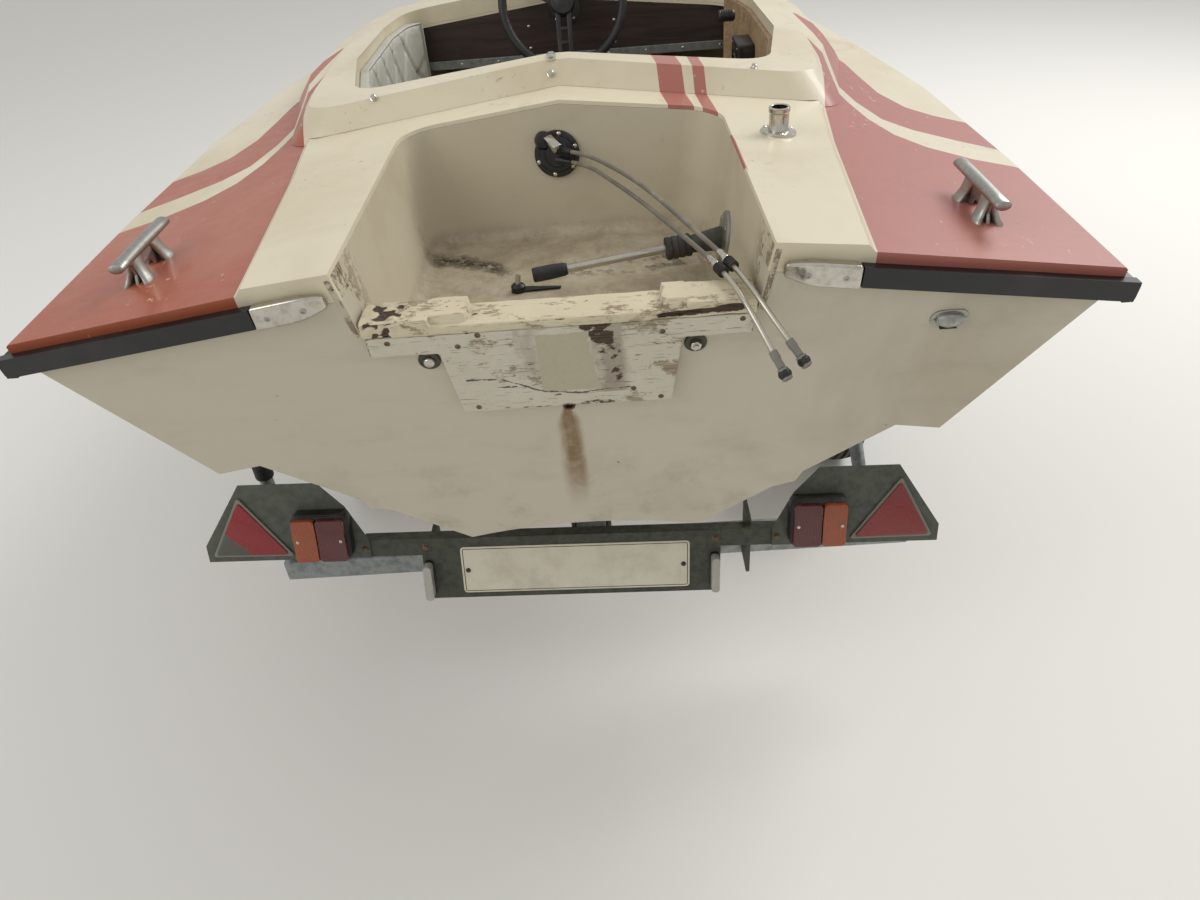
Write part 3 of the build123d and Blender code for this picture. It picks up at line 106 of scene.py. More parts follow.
# shader wires
class Wire:
    # an output socket; sums on it become Math nodes
    def __init__(self, paint, socket):
        self.paint, self.socket = paint, socket

    def maths(self, operation, *values, clamp=False):
        return self.paint.node("Math", {"operation": operation, "use_clamp": clamp},
                               dict(enumerate(values)))

    def __add__(self, other): return self.maths("ADD", self, other)
    def __radd__(self, other): return self.maths("ADD", other, self)
    def __sub__(self, other): return self.maths("SUBTRACT", self, other)
    def __rsub__(self, other): return self.maths("SUBTRACT", other, self)
    def __mul__(self, other): return self.maths("MULTIPLY", self, other)
    def __rmul__(self, other): return self.maths("MULTIPLY", other, self)
    def __truediv__(self, other): return self.maths("DIVIDE", self, other)
    def __pow__(self, other): return self.maths("POWER", self, other)
    def __gt__(self, other): return self.maths("GREATER_THAN", self, other)
    def __lt__(self, other): return self.maths("LESS_THAN", self, other)
    def __abs__(self): return self.maths("ABSOLUTE", self)
    def clamped(self): return self.maths("ADD", self, 0.0, clamp=True)
    def most(self, other): return self.maths("MAXIMUM", self, other)
    def sine(self): return self.maths("SINE", self)

    def fade(self, low, high):
        # 0 below low, 1 above high, with a soft step between
        return self.paint.node("MapRange", {"interpolation_type": "SMOOTHSTEP"}, {0: self, 1: low, 2: high})

    def curve(self, points, low, high):
        # straight lines through points of (value, result), result in the same units
        span = max(p[1] for p in points)
        node = self.paint.tree.nodes.new("ShaderNodeFloatCurve")
        line = node.mapping.curves[0]
        while len(line.points) < len(points):
            line.points.new(0.5, 0.5)
        for spot, (value, result) in zip(line.points, points):
            spot.location = ((value - low) / (high - low), result / span)
            spot.handle_type = "VECTOR"
        node.mapping.update()
        self.paint.tree.links.new(((self - low) / (high - low)).socket, node.inputs[1])
        return Wire(self.paint, node.outputs[0]) * span


class Paint:
    # one material; every node comes through node()
    def __init__(self, name):
        self.material = bpy.data.materials.new(name)
        self.material.use_nodes = True
        self.tree = self.material.node_tree
        self.tree.nodes.clear()
        self.spot = self.node("TexCoord", {}, {}, 3)

    def node(self, kind, settings, values, output=0):
        made = self.tree.nodes.new("ShaderNode" + kind)
        for key, value in settings.items():
            setattr(made, key, value)
        for key, value in values.items():
            if isinstance(value, Wire):
                self.tree.links.new(value.socket, made.inputs[key])
            else:
                made.inputs[key].default_value = value
        return Wire(self, made.outputs[output]) if len(made.outputs) else made

    def axes(self):
        return [self.node("SeparateXYZ", {}, {0: self.spot}, i) for i in range(3)]

    def placed(self, scale=(1, 1, 1), turn=(0, 0, 0)):
        return self.node("Mapping", {}, {0: self.spot, 2: turn, 3: scale})

    def worn(self, name):
        # a share kept on the mesh, 0 to 1
        return self.node("Attribute", {"attribute_name": name}, {}, 2)

    def noise(self, scale, detail=4.0, rough=0.55, spot=None, warp=0.0):
        return self.node("TexNoise", {}, {"Vector": spot or self.spot, "Scale": scale, "Detail": detail,
                                          "Roughness": rough, "Distortion": warp})

    def cells(self, scale, spot=None, feature="F1"):
        return self.node("TexVoronoi", {"feature": feature}, {"Vector": spot or self.spot, "Scale": scale})

    def mix(self, share, first, second):
        values = {0: share, 6: colourOf(first), 7: colourOf(second)}
        return self.node("Mix", {"data_type": "RGBA"}, values, 2)

    def bump(self, height, depth, strength=1.0, after=None):
        values = {"Height": height, "Distance": depth, "Strength": strength}
        if after is not None:
            values["Normal"] = after
        return self.node("Bump", {}, values)

    def finish(self, **values):
        shader = self.node("BsdfPrincipled", {}, {key.replace("_", " "): colourOf(value)
                                                  for key, value in values.items()})
        self.node("OutputMaterial", {}, {0: shader})
        return self.material


def colourOf(value):
    # a triple of plain numbers becomes a colour
    if isinstance(value, (tuple, list)) and len(value) == 3:
        return (*value, 1.0)
    return value


def srgb(red, green, blue):
    # 0 to 255 as seen on a screen, to the linear numbers that a shader takes
    return tuple(c / 3294.6 if c <= 10.31 else ((c / 255 + 0.055) / 1.055) ** 2.4
                 for c in (red, green, blue))


# finishes of the mouldings
# the hull's cream is set a little darker than its own tone: painted shade of the transom, which faces away
# from the light
gelcoat = {"cream": srgb(214, 204, 178), "creamAged": srgb(190, 174, 138), "hull": srgb(190, 182, 162),
           "hullAged": srgb(166, 155, 132), "red": srgb(160, 82, 54), "redFaded": srgb(170, 106, 84),
           "redStarboardGlare": srgb(170, 108, 100), "well": srgb(190, 180, 156),
           "wellAged": srgb(160, 146, 118), "dirt": srgb(74, 60, 44)}
# how wide the red field, the cream line and the red line beside it lie at each distance from the transom
redField = [(380, 830), (400, 797), (421, 735), (470, 665), (530, 622), (620, 595), (730, 581), (850, 573),
            (1000, 570), (1400, 560)]
creamLine = [(380, 830), (475, 830), (495, 795), (525, 738), (570, 668), (625, 624), (735, 599), (850, 589),
             (1000, 590), (1150, 594), (1400, 590)]
redLine = [(380, 830), (630, 830), (652, 797), (680, 744), (725, 699), (820, 668), (930, 660), (1070, 655),
           (1180, 637), (1280, 618), (1400, 596)]
bandEdge = [(-100, 437), (450, 491), (900, 553), (1300, 580), (1700, 556), (2150, 455), (2600, 340),
            (3050, 218), (3450, 115), (3750, 50), (3990, 9)]
# the two stripes over the raised deck, starboard of the middle
wideInner = [(240, 246), (565, 212), (800, 188), (900, 180)]
wideOuter = [(240, 295), (565, 261), (800, 237), (900, 229)]
narrowInner = [(240, 310), (259, 309), (406, 284), (780, 262), (900, 255)]
narrowOuter = [(240, 310), (259, 309.5), (406, 309), (780, 285), (900, 278)]


def weathered(paint, colour, aged, amount=1.0):
    # patches and fine specks of age over a gelcoat colour
    cloud = paint.noise(2.3, 6, 0.62, warp=0.4).fade(0.42, 0.72)
    streak = paint.noise(5.0, 5, 0.6, spot=paint.placed((1.2, 0.35, 2.2))).fade(0.5, 0.8)
    aging = paint.mix((cloud * 0.7 + streak * 0.35) * amount, colour, aged)
    specks = paint.noise(210, 2, 0.7).fade(0.73, 0.80) * paint.noise(9, 3, 0.6).fade(0.5, 0.62)
    return paint.mix(specks * 0.5 * amount, aging, gelcoat["dirt"])


def makeDeckPaint():
    paint = Paint("painted deck gelcoat")
    x, y, _ = paint.axes()
    side, along = abs(x) * 1000, (y - boatZero.y) * 1000
    cream = weathered(paint, gelcoat["cream"], gelcoat["creamAged"], 0.8)
    # starboard red painted paler and pinker: a painted highlight of the glare on that side
    red = paint.mix((x > 0) * 0.75, gelcoat["red"], gelcoat["redStarboardGlare"])
    red = weathered(paint, red, gelcoat["redFaded"], 0.8)
    edge = along.curve(bandEdge, -200, 4100) + 1.5
    field, light, line = (along.curve(points, 380, 1400) for points in (redField, creamLine, redLine))
    rearField = (side < field).most(along < 381)
    stripe = (side > light) * (side < line) * (along > 475)
    redHere = (side > edge) * (along < 1395) * rearField.most(stripe)
    right = x * 1000
    wide = ((right > along.curve(wideInner, 240, 900)) * (right < along.curve(wideOuter, 240, 900))
            * (along > 556))
    narrow = (right > along.curve(narrowInner, 240, 900)) * (right < along.curve(narrowOuter, 240, 900))
    redHere = redHere.most(wide.most(narrow) * (along > 245) * (along < 812) * (side < edge))
    chips = paint.noise(60, 4, 0.7).fade(0.62, 0.66) * paint.noise(6, 2, 0.5).fade(0.56, 0.7)
    scrape = paint.noise(26, 5, 0.7, spot=paint.placed((3.2, 0.8, 1))).fade(0.66, 0.70)
    colour = paint.mix(redHere * (1 - chips * 0.8) * (1 - scrape * 0.5), cream, red)
    grime = paint.noise(3.4, 6, 0.7, warp=1.2).fade(0.58, 0.8) * 0.22
    colour = paint.mix(grime, colour, gelcoat["dirt"])
    # dust in scattered patches over the deck
    dust = paint.noise(70, 5, 0.75).fade(0.60, 0.66) * paint.noise(4, 3, 0.6).fade(0.48, 0.6)
    colour = paint.mix(dust * 0.45, colour, srgb(96, 80, 58))
    rough = 0.28 + paint.noise(30, 4, 0.6) * 0.25
    wave = paint.bump(paint.noise(7, 3, 0.5), 0.002, 0.12)
    return paint.finish(Base_Color=colour, Roughness=rough, Coat_Weight=0.15,
                        Normal=paint.bump(paint.noise(240, 2, 0.6), 0.0002, 0.25, wave))


def makeHullPaint():
    paint = Paint("hull gelcoat")
    x, y, z = paint.axes()
    colour = weathered(paint, gelcoat["hull"], gelcoat["hullAged"])
    # dust and splash towards the bottom, rust under the drain
    low = 1 - z.fade(0.62, 0.95)
    splash = paint.noise(11, 7, 0.7).fade(0.5, 0.72) * low
    colour = paint.mix(splash * 0.35, colour, srgb(112, 96, 70))
    run = paint.noise(16, 5, 0.6, spot=paint.placed((3.5, 1, 0.5)))
    width = 0.006 + (0.955 - z).fade(0.0, 0.05) * 0.013 + (0.955 - z).clamped() * 0.012
    streak = 1 - (abs(x + 0.002 + (run - 0.5) * 0.014) / width).fade(0.35, 1.25)
    fall = (z.fade(0.668, 0.84) * (1 - z.fade(0.955, 0.962))
            * (paint.noise(40, 4, 0.7).fade(0.2, 0.6) * 0.4 + 0.6))
    atStern = 1 - y.fade(-2.37, -2.33)
    colour = paint.mix(streak * fall * atStern * 0.88, colour, srgb(112, 78, 22))
    smear = paint.noise(5, 6, 0.65, spot=paint.placed((0.7, 1, 2.6))).fade(0.52, 0.8)
    colour = paint.mix(smear * 0.16, colour, gelcoat["dirt"])
    nick = paint.noise(34, 3, 0.7).fade(0.735, 0.75)
    colour = paint.mix(nick * 0.7, colour, srgb(70, 56, 42))
    wave = paint.bump(paint.noise(4, 3, 0.5), 0.003, 0.1)
    return paint.finish(Base_Color=colour, Roughness=0.36 + paint.noise(24, 5, 0.6) * 0.25, Coat_Weight=0.1,
                        Normal=paint.bump(paint.noise(160, 3, 0.6), 0.0002, 0.3, wave))


def makeWellPaint():
    # cream moulding with mud on its floor, a heap of leaf dirt on the port side and peeling at the stern
    paint = Paint("motor well gelcoat")
    x, y, z = paint.axes()
    colour = weathered(paint, gelcoat["well"], gelcoat["wellAged"])
    floor = 1 - z.fade(1.016, 1.05)
    mud = paint.noise(11, 9, 0.76, warp=0.25)
    colour = paint.mix(floor * mud.fade(0.30, 0.70) * 0.75, colour, srgb(134, 116, 92))
    bend = abs(y + 1.988 + (x + 0.20) * 0.42 + (x + 0.20) ** 2 * 3.4
               + (paint.noise(30, 4, 0.7) - 0.5) * 0.05)
    heap = (1 - bend.fade(0.002, 0.034)) * (1 - abs(x + 0.195).fade(0.050, 0.100))
    trail = (1 - abs(y + 2.045).fade(0.01, 0.05)) * (1 - abs(x - 0.12).fade(0.08, 0.20)) * 0.62
    strewn = heap.most(trail * paint.noise(28, 4, 0.7).fade(0.5, 0.6))
    leaves = paint.noise(95, 9, 0.85, warp=0.6).fade(0.455, 0.50) * strewn
    colour = paint.mix(leaves * floor * 0.92, colour, srgb(38, 28, 20))
    specks = paint.noise(120, 3, 0.75).fade(0.68, 0.72)
    colour = paint.mix(specks * (0.25 + floor * 0.55), colour, srgb(62, 46, 32))
    stern = 1 - y.fade(-2.44, -2.33)
    peel = paint.noise(30, 7, 0.78, warp=0.5).fade(0.50, 0.56) * stern
    colour = paint.mix(peel * 0.75, colour, srgb(122, 98, 66))
    colour = paint.mix(paint.noise(70, 6, 0.8).fade(0.58, 0.62) * stern * 0.9, colour, srgb(44, 32, 24))
    lumps = paint.bump(leaves + mud * 0.2 + peel * 0.5, 0.006, 0.7)
    return paint.finish(Base_Color=colour, Roughness=0.42 + mud * 0.3, Normal=lumps, Coat_Weight=0.05)


def makeMetal(name, bright, dark, rough, wear=0.5, metallic=1.0, grain=60):
    # plated or galvanised metal with tarnish and small pits
    paint = Paint(name)
    cloud = paint.noise(grain, 6, 0.65).fade(0.35, 0.75)
    pits = paint.cells(grain * 6).fade(0.0, 0.25)
    colour = paint.mix(cloud * wear, bright, dark)
    spots = (1 - pits) * paint.noise(grain * 0.3, 3, 0.6).fade(0.5, 0.7)
    colour = paint.mix(spots * wear, colour, srgb(70, 48, 32))
    return paint.finish(Base_Color=colour, Metallic=(1 - spots * wear * 0.8) * metallic,
                        Roughness=rough + cloud * 0.22 + spots * 0.3,
                        Normal=paint.bump(pits, 0.0004, 0.15 * wear))


def makePlastic(name, colour, rough=0.45, grain=180, depth=0.0004, dust=0.25):
    # moulded plastic or rubber with grain and a film of dust
    paint = Paint(name)
    film = paint.noise(7, 6, 0.7).fade(0.45, 0.75)
    tone = paint.mix(film * dust, colour, srgb(128, 120, 104))
    return paint.finish(Base_Color=tone, Roughness=rough + film * 0.2,
                        Normal=paint.bump(paint.noise(grain, 3, 0.6), depth, 0.4))


# the long crack across the pad, in millimetres from the middle line and over the floor
padCrack = [(-150, 1026.5), (-99, 1024), (-62, 1006), (-33, 992), (20, 985), (60, 989), (100, 992)]


def crackLevel(across):
    # height of the long crack at each place across the pad
    base = min(level for at, level in padCrack)
    points = [(at, level - base) for at, level in padCrack]
    return across.curve(points, padCrack[0][0], padCrack[-1][0]) + base


def makePeelingWood(name, lightCoat, darkCoat, onPad):
    # plywood under peeling paint: cracks run along the grain, rot is dark
    paint = Paint(name)
    x, _, z = paint.axes()
    across, high = x * 1000, z * 1000
    grain = paint.noise(9, 8, 0.7, spot=paint.placed((1.2, 6, 16)), warp=0.6)
    fine = paint.noise(40, 5, 0.7, spot=paint.placed((1, 8, 18)))
    bare = paint.mix(grain.fade(0.35, 0.7), srgb(176, 160, 132), srgb(118, 98, 76))
    coat = paint.mix(paint.noise(12, 6, 0.6) * 0.8, lightCoat, darkCoat)
    coat = paint.mix(fine.fade(0.55, 0.75) * 0.35, coat, bare)
    flakes = paint.noise(14, 9, 0.74, spot=paint.placed((1, 1.5, 1.9)), warp=0.3)
    lost = (fine * 0.30 + flakes).fade(0.735, 0.775)
    crumbs = paint.noise(70, 9, 0.78, spot=paint.placed((1, 1.6, 2.2))) - 0.5
    # the kept share is rot, and on the clamp board also a painted shadow line in the groove above the pad
    rotAndShade = (paint.worn("rotAndShade") + crumbs * 1.5).fade(0.46, 0.60)
    unpatched = 1.0
    if onPad:
        # a squarer patch of newer paint, ragged towards starboard
        rag = (paint.noise(34, 5, 0.7) - 0.5) * 26
        patch = ((across + rag * 0.12 > -36) * (across + rag * 0.6 < 46 - (high - 1050) * 0.14)
                 * (high + rag * 0.15 > 993) * (high + rag * 0.2 < 1106))
        unpatched = 1 - patch
        lost = lost * unpatched
    colour = paint.mix(lost, coat, bare)
    if onPad:
        stain = paint.noise(20, 6, 0.7, spot=paint.placed((1, 1, 0.35)))
        runs = (1 - abs(across - 70).fade(16, 34)) * (1 - high.fade(1060, 1120) * 0.2) * (high > 985)
        portRuns = (1 - abs(across + 52).fade(10, 26)) * (high > 1020)
        runs = runs.most(portRuns * 0.6) * stain.fade(0.40, 0.62)
        colour = paint.mix(runs * 0.55, colour, srgb(104, 84, 62))
        newer = paint.mix(stain * 0.7 + fine * 0.3, srgb(184, 178, 154), srgb(164, 156, 132))
        colour = paint.mix(patch, colour, newer)
    colour = paint.mix(rotAndShade, colour, paint.mix(fine.fade(0.35, 0.65), srgb(84, 62, 42), srgb(30, 22, 17)))
    # short cracks along the grain, a few long dark ones
    hairline = paint.noise(1, 3, 0.6, spot=paint.placed((26, 90, 420))).fade(0.64, 0.67)
    dashes = paint.noise(1, 2, 0.5, spot=paint.placed((34, 60, 190))).fade(0.715, 0.735)
    crack = hairline * unpatched * 0.45 + dashes * unpatched
    if onPad:
        wander = (paint.noise(26, 4, 0.6, spot=paint.placed((1, 1, 0.1))) - 0.5) * 9
        gap = abs(high + wander - crackLevel(across)) - (paint.noise(48, 6, 0.75) - 0.47) * 11
        crack = crack.most((1 - gap.fade(0.2, 1.0)) * (across > -150) * (across < 100))
    colour = paint.mix(crack.clamped() * 0.85, colour, srgb(40, 29, 22))
    height = (1 - lost) * 0.4 + grain * 0.35 + fine * 0.2 - crack * 0.8
    return paint.finish(Base_Color=colour, Roughness=0.62 + lost * 0.2,
                        Normal=paint.bump(height, 0.0022, 0.8))


def makeVinyl(name, colour, creased):
    # coated fabric with a fine leather grain and soft creases
    paint = Paint(name)
    cell = paint.cells(420, feature="DISTANCE_TO_EDGE").fade(0.0, 0.22)
    crease = paint.noise(14, 5, 0.6, warp=1.4)
    stain = paint.noise(5, 6, 0.65).fade(0.45, 0.75)
    tone = paint.mix(stain * 0.5, colour, creased)
    height = cell * 0.3 + crease.fade(0.35, 0.65) * 0.7
    return paint.finish(Base_Color=tone, Roughness=0.42 + stain * 0.2,
                        Normal=paint.bump(height, 0.0012, 0.4))


def makeClear():
    # scuffed acrylic that light passes through
    paint = Paint("scuffed clear acrylic")
    scuff = paint.noise(90, 6, 0.75).fade(0.5, 0.7)
    shader = paint.node("BsdfPrincipled", {}, {
        "Base Color": (0.93, 0.95, 0.94, 1), "Transmission Weight": 1.0, "Roughness": scuff * 0.12 + 0.03,
        "IOR": 1.15})
    thin = paint.node("BsdfTransparent", {}, {0: (0.95, 0.97, 0.96, 1)})
    blend = paint.node("MixShader", {}, {0: 0.16, 1: thin, 2: shader})
    paint.node("OutputMaterial", {}, {0: blend})
    return paint.material


def makeLens(name, colour, deep, ribs, dirt=0.35):
    # moulded lamp lens with prism ribs
    paint = Paint(name)
    rib = (paint.axes()[0] * ribs).sine() * 0.5 + 0.5
    dusty = paint.noise(16, 5, 0.7).fade(0.4, 0.75)
    tone = paint.mix(rib * 0.6, colour, deep)
    tone = paint.mix(dusty * dirt, tone, srgb(96, 88, 76))
    return paint.finish(Base_Color=tone, Roughness=0.18 + dusty * 0.4, Normal=paint.bump(rib, 0.0016, 0.6),
                        Coat_Weight=0.5)


def makeReflector():
    # triangle of fine prisms; the port one is half worn down to its grey back
    paint = Paint("reflex triangle")
    x, _, z = paint.axes()
    prism = paint.cells(240).fade(0.1, 0.5)
    tone = paint.mix(prism * 0.5, srgb(150, 14, 20), srgb(104, 6, 14))
    ragged = paint.noise(22, 5, 0.65) - 0.5
    worn = ((x + 0.712) * -16 + (0.53 - z) * 11 + ragged).fade(0.10, 0.16) * (x < -0.5)
    tone = paint.mix(worn, tone, srgb(74, 78, 70))
    dusty = paint.noise(16, 5, 0.7).fade(0.4, 0.75)
    tone = paint.mix(dusty * 0.25 + (x > 0) * 0.25, tone, srgb(98, 52, 44))
    return paint.finish(Base_Color=tone, Roughness=0.2 + worn * 0.4 + dusty * 0.2, Coat_Weight=0.4,
                        Normal=paint.bump(prism * (1 - worn), 0.0008, 0.6))


def makePlate():
    # blank reflective plate with a dirty border
    paint = Paint("blank plate")
    dirt = paint.noise(13, 6, 0.7).fade(0.4, 0.8)
    tone = paint.mix(dirt * 0.4, srgb(204, 198, 178), srgb(140, 128, 104))
    bead = paint.cells(900).fade(0.2, 0.5)
    return paint.finish(Base_Color=tone, Roughness=0.35 + dirt * 0.3, Normal=paint.bump(bead, 0.0002, 0.3))


def makeTyreRubber():
    paint = Paint("weathered tyre rubber")
    dust = paint.noise(6, 6, 0.7).fade(0.4, 0.8)
    crack = paint.cells(60, feature="DISTANCE_TO_EDGE", spot=paint.placed((3, 1, 1))).fade(0.0, 0.06)
    tone = paint.mix(dust * 0.55, srgb(34, 33, 32), srgb(104, 98, 88))
    return paint.finish(Base_Color=tone, Roughness=0.72 + dust * 0.15,
                        Normal=paint.bump(crack * 0.4 + paint.noise(150, 4, 0.6) * 0.4, 0.0008, 0.5))


def makePly(name, light, dark):
    paint = Paint(name)
    grain = paint.noise(5, 7, 0.65, spot=paint.placed((0.8, 9, 9)), warp=1.1)
    stain = paint.noise(3, 5, 0.6).fade(0.45, 0.75)
    tone = paint.mix(grain.fade(0.3, 0.7), light, dark)
    tone = paint.mix(stain * 0.4, tone, srgb(52, 40, 30))
    return paint.finish(Base_Color=tone, Roughness=0.55 + grain * 0.2,
                        Normal=paint.bump(grain, 0.0012, 0.35))


def makeWebbing():
    paint = Paint("woven strap")
    x, y, z = paint.axes()
    weave = ((z + y * 0.6) * 3400).sine() * (x * 2600).sine()
    tone = paint.mix(weave.fade(-0.6, 0.6), srgb(126, 34, 30), srgb(84, 20, 20))
    tone = paint.mix(paint.noise(12, 5, 0.6).fade(0.45, 0.8) * 0.5, tone, srgb(96, 84, 70))
    return paint.finish(Base_Color=tone, Roughness=0.8, Normal=paint.bump(weave, 0.0006, 0.6))


def makeCableJacket():
    # grey sleeve on the boat's end, bright rod beyond the black collars
    paint = Paint("control cable")
    dusty = paint.noise(20, 5, 0.65).fade(0.4, 0.8)
    sleeve = paint.mix(dusty * 0.6, srgb(104, 98, 88), srgb(160, 150, 130))
    rodShare = 1 - paint.axes()[1].fade(-2.402, -2.398)
    tone = paint.mix(rodShare, sleeve, srgb(196, 190, 176))
    return paint.finish(Base_Color=tone, Metallic=rodShare * 0.9,
                        Roughness=0.45 - rodShare * 0.15 + dusty * 0.15)


paints = {
    "deck": makeDeckPaint(), "hull": makeHullPaint(), "well": makeWellPaint(),
    "chrome": makeMetal("worn chrome", srgb(206, 202, 192), srgb(140, 130, 112), 0.12, 0.45),
    "steel": makeMetal("bright steel rod", srgb(200, 196, 186), srgb(140, 132, 118), 0.24, 0.3),
    "cast": makeMetal("grey cast alloy", srgb(172, 172, 166), srgb(122, 120, 112), 0.36, 0.45, grain=90),
    "zinc": makeMetal("galvanised steel", srgb(158, 162, 162), srgb(104, 108, 108), 0.46, 0.55, grain=45),
    "beam": makeMetal("painted beam", srgb(74, 76, 66), srgb(48, 48, 42), 0.5, 0.6, metallic=0.35),
    "board": makeMetal("grey painted board", srgb(84, 88, 78), srgb(58, 60, 52), 0.5, 0.6, metallic=0.15),
    "rim": makeMetal("painted wheel rim", srgb(176, 174, 166), srgb(120, 114, 102),
                     0.45, 0.6, metallic=0.3),
    "bolt": makeMetal("rusty fastener", srgb(120, 106, 90), srgb(84, 58, 38),
                      0.5, 0.9, metallic=0.8, grain=150),
    "rubber": makePlastic("black rubber", srgb(30, 30, 31), 0.6, 120, 0.0008, 0.35),
    "railRubber": makePlastic("rub rail rubber", srgb(17, 18, 21), 0.34, 90, 0.0004, 0.10),
    "black": makePlastic("black moulding", srgb(20, 20, 20), 0.38),
    "grip": makePlastic("wheel grip", srgb(26, 24, 23), 0.5, 260, 0.0009, 0.15),
    "greyMoulding": makePlastic("grey moulding", srgb(120, 118, 108), 0.42),
    "dash": makePly("brown dash panel", srgb(62, 44, 36), srgb(36, 25, 21)),
    "panel": makePly("beige side panel", srgb(176, 150, 116), srgb(140, 112, 80)),
    "ply": makePly("varnished plywood", srgb(128, 92, 58), srgb(84, 56, 34)),
    "padWood": makePeelingWood("peeling pad", srgb(206, 200, 184), srgb(182, 174, 154), True),
    "boardWood": makePeelingWood("peeling clamp board", srgb(212, 202, 174), srgb(186, 172, 140), False),
    "vinyl": makeVinyl("white vinyl", srgb(190, 188, 176), srgb(138, 134, 120)),
    "vinylRed": makeVinyl("red vinyl", srgb(112, 34, 30), srgb(78, 26, 24)),
    "clear": makeClear(), "plate": makePlate(), "tyre": makeTyreRubber(), "webbing": makeWebbing(),
    "cable": makeCableJacket(), "reflex": makeReflector(),
    "lensRed": makeLens("red lens", srgb(92, 12, 12), srgb(40, 5, 6), 2100, 0.15),
    "lensAmber": makeLens("amber lens", srgb(166, 72, 20), srgb(104, 40, 12), 2100, 0.26),
    "lensWhite": makeLens("white lens", srgb(190, 188, 178), srgb(140, 136, 124), 2600),
}
print("finishes made")

nodePaint = {
    "hull": "hull", "deck": "deck", "motor_well": "well", "coaming": "deck", "rub_rail": "railRubber",
    "rub_caps": "chrome", "cleats": "cast", "pole_socket": "chrome", "transom_pad": "padWood",
    "clamp_board": "boardWood", "transom_bolts": "steel", "vent_cover": "cast", "cable_gland": "black",
    "cable_sleeves": "black", "cable_ends": "cast", "steering_guide": "cast", "steering_rod": "steel",
    "sole": "ply", "seat_base": "ply", "seat_cushion": "vinyl", "back_cushion": "vinyl",
    "side_lining": "vinyl", "side_panel": "panel", "dashboard": "dash", "dash_strip": "zinc",
    "steering_column": "black", "steering_wheel": "grip", "throttle": "black", "windscreen": "clear",
    "screen_rail": "zinc", "trailer_frame": "zinc", "rollers": "rubber", "axle": "zinc",
    "tyre_starboard": "tyre", "tyre_port": "tyre", "rim_starboard": "rim", "rim_port": "rim",
    "mudguards": "black", "post_rubbers": "rubber", "winch_frame": "zinc", "winch_drum": "zinc",
    "bow_eye": "chrome", "winch_strap": "webbing", "coupling": "cast", "jockey_tube": "zinc",
    "jockey_leg": "steel", "jockey_fork": "zinc", "jockey_wheel": "rubber", "light_beam": "beam",
    "lamp_boards": "board", "number_plate": "plate", "lamps": "lensRed", "reflectors": "reflex",
}
for nodeName, paintName in nodePaint.items():
    nodes[nodeName].data.materials.clear()
    nodes[nodeName].data.materials.append(paints[paintName])
print("frame pieces painted")


# shaping
bodyOf = {node: body for body, held in record["behaviour"]["bodies"].items() for node in held}


def facing(centre, way, across=(1, 0, 0)):
    # a place whose Z runs along way and whose X lies as near to across as it can
    up = Vector(way).normalized()
    if abs(up.dot(Vector(across).normalized())) > 0.95:
        across = (0, 1, 0) if abs(up.y) < 0.9 else (0, 0, 1)
    side = (Vector(across) - up * up.dot(Vector(across))).normalized()
    return Matrix.Translation(centre) @ Matrix((side, up.cross(side), up)).transposed().to_4x4()


def inMetres(points):
    return [(x / 1000, y / 1000) for x, y in points]


def boxed(x1, x2, y1, y2):
    return [(x1, y1), (x2, y1), (x2, y2), (x1, y2)]


def rounded(points, radius, steps=5):
    # the outline with its corners turned into arcs
    found = []
    for index, corner in enumerate(points):
        here = Vector(corner)
        before, after = Vector(points[index - 1]) - here, Vector(points[(index + 1) % len(points)]) - here
        start, end = here + before.normalized() * radius, here + after.normalized() * radius
        for k in range(steps + 1):
            share = k / steps
            found.append(tuple(start.lerp(here, share).lerp(here.lerp(end, share), share)))
    return found


def spun(place, degrees):
    return place @ Matrix.Rotation(math.radians(degrees), 4, "Z")


def linked(verts):
    # every vertex joined to the given ones, in a steady order
    seen, queue, found = set(verts), list(verts), list(verts)
    while queue:
        for edge in queue.pop().link_edges:
            for vert in edge.verts:
                if vert not in seen:
                    seen.add(vert)
                    queue.append(vert)
                    found.append(vert)
    return found


def painted(verts, material):
    for vert in verts:
        for face in vert.link_faces:
            face.material_index = material


def lathe(bm, profile, place, steps=24, material=0):
    # spins points of (radius, height) round the local Z of place
    made = [bm.verts.new((radius, 0, height)) for radius, height in profile]
    edges = [bm.edges.new(pair) for pair in zip(made, made[1:])]
    bmesh.ops.spin(bm, geom=made + edges, cent=(0, 0, 0), axis=(0, 0, 1), angle=math.tau, steps=steps,
                   use_merge=True)
    island = linked(made)
    bmesh.ops.remove_doubles(bm, verts=island, dist=1e-6)
    island = linked([v for v in island if v.is_valid][:1])
    bmesh.ops.transform(bm, matrix=place, verts=island)
    painted(island, material)
    return island


def slab(bm, outline, low, high, place, bevel=0.0, material=0, segments=2):
    # plate of an outline in the local XY plane, from low to high along Z
    face = bm.faces.new([bm.verts.new((x, y, low)) for x, y in outline])
    grown = bmesh.ops.extrude_face_region(bm, geom=[face])["geom"]
    top = [item for item in grown if isinstance(item, bmesh.types.BMVert)]
    bmesh.ops.translate(bm, verts=top, vec=(0, 0, high - low))
    verts = linked(top[:1])
    if bevel:
        edges = list(dict.fromkeys(e for v in verts for e in v.link_edges))
        made = bmesh.ops.bevel(bm, geom=edges, offset=bevel, offset_type="OFFSET", affect="EDGES",
                               segments=segments, profile=0.5, material=-1, clamp_overlap=True)
        verts = linked([made["verts"][0]])
    bmesh.ops.transform(bm, matrix=place, verts=verts)
    painted(verts, material)
    return verts


def block(bm, size, place, bevel=0.0, material=0, segments=2):
    x, y, z = (part / 2 for part in size)
    return slab(bm, [(-x, -y), (x, -y), (x, y), (-x, y)], -z, z, place, bevel, material, segments)


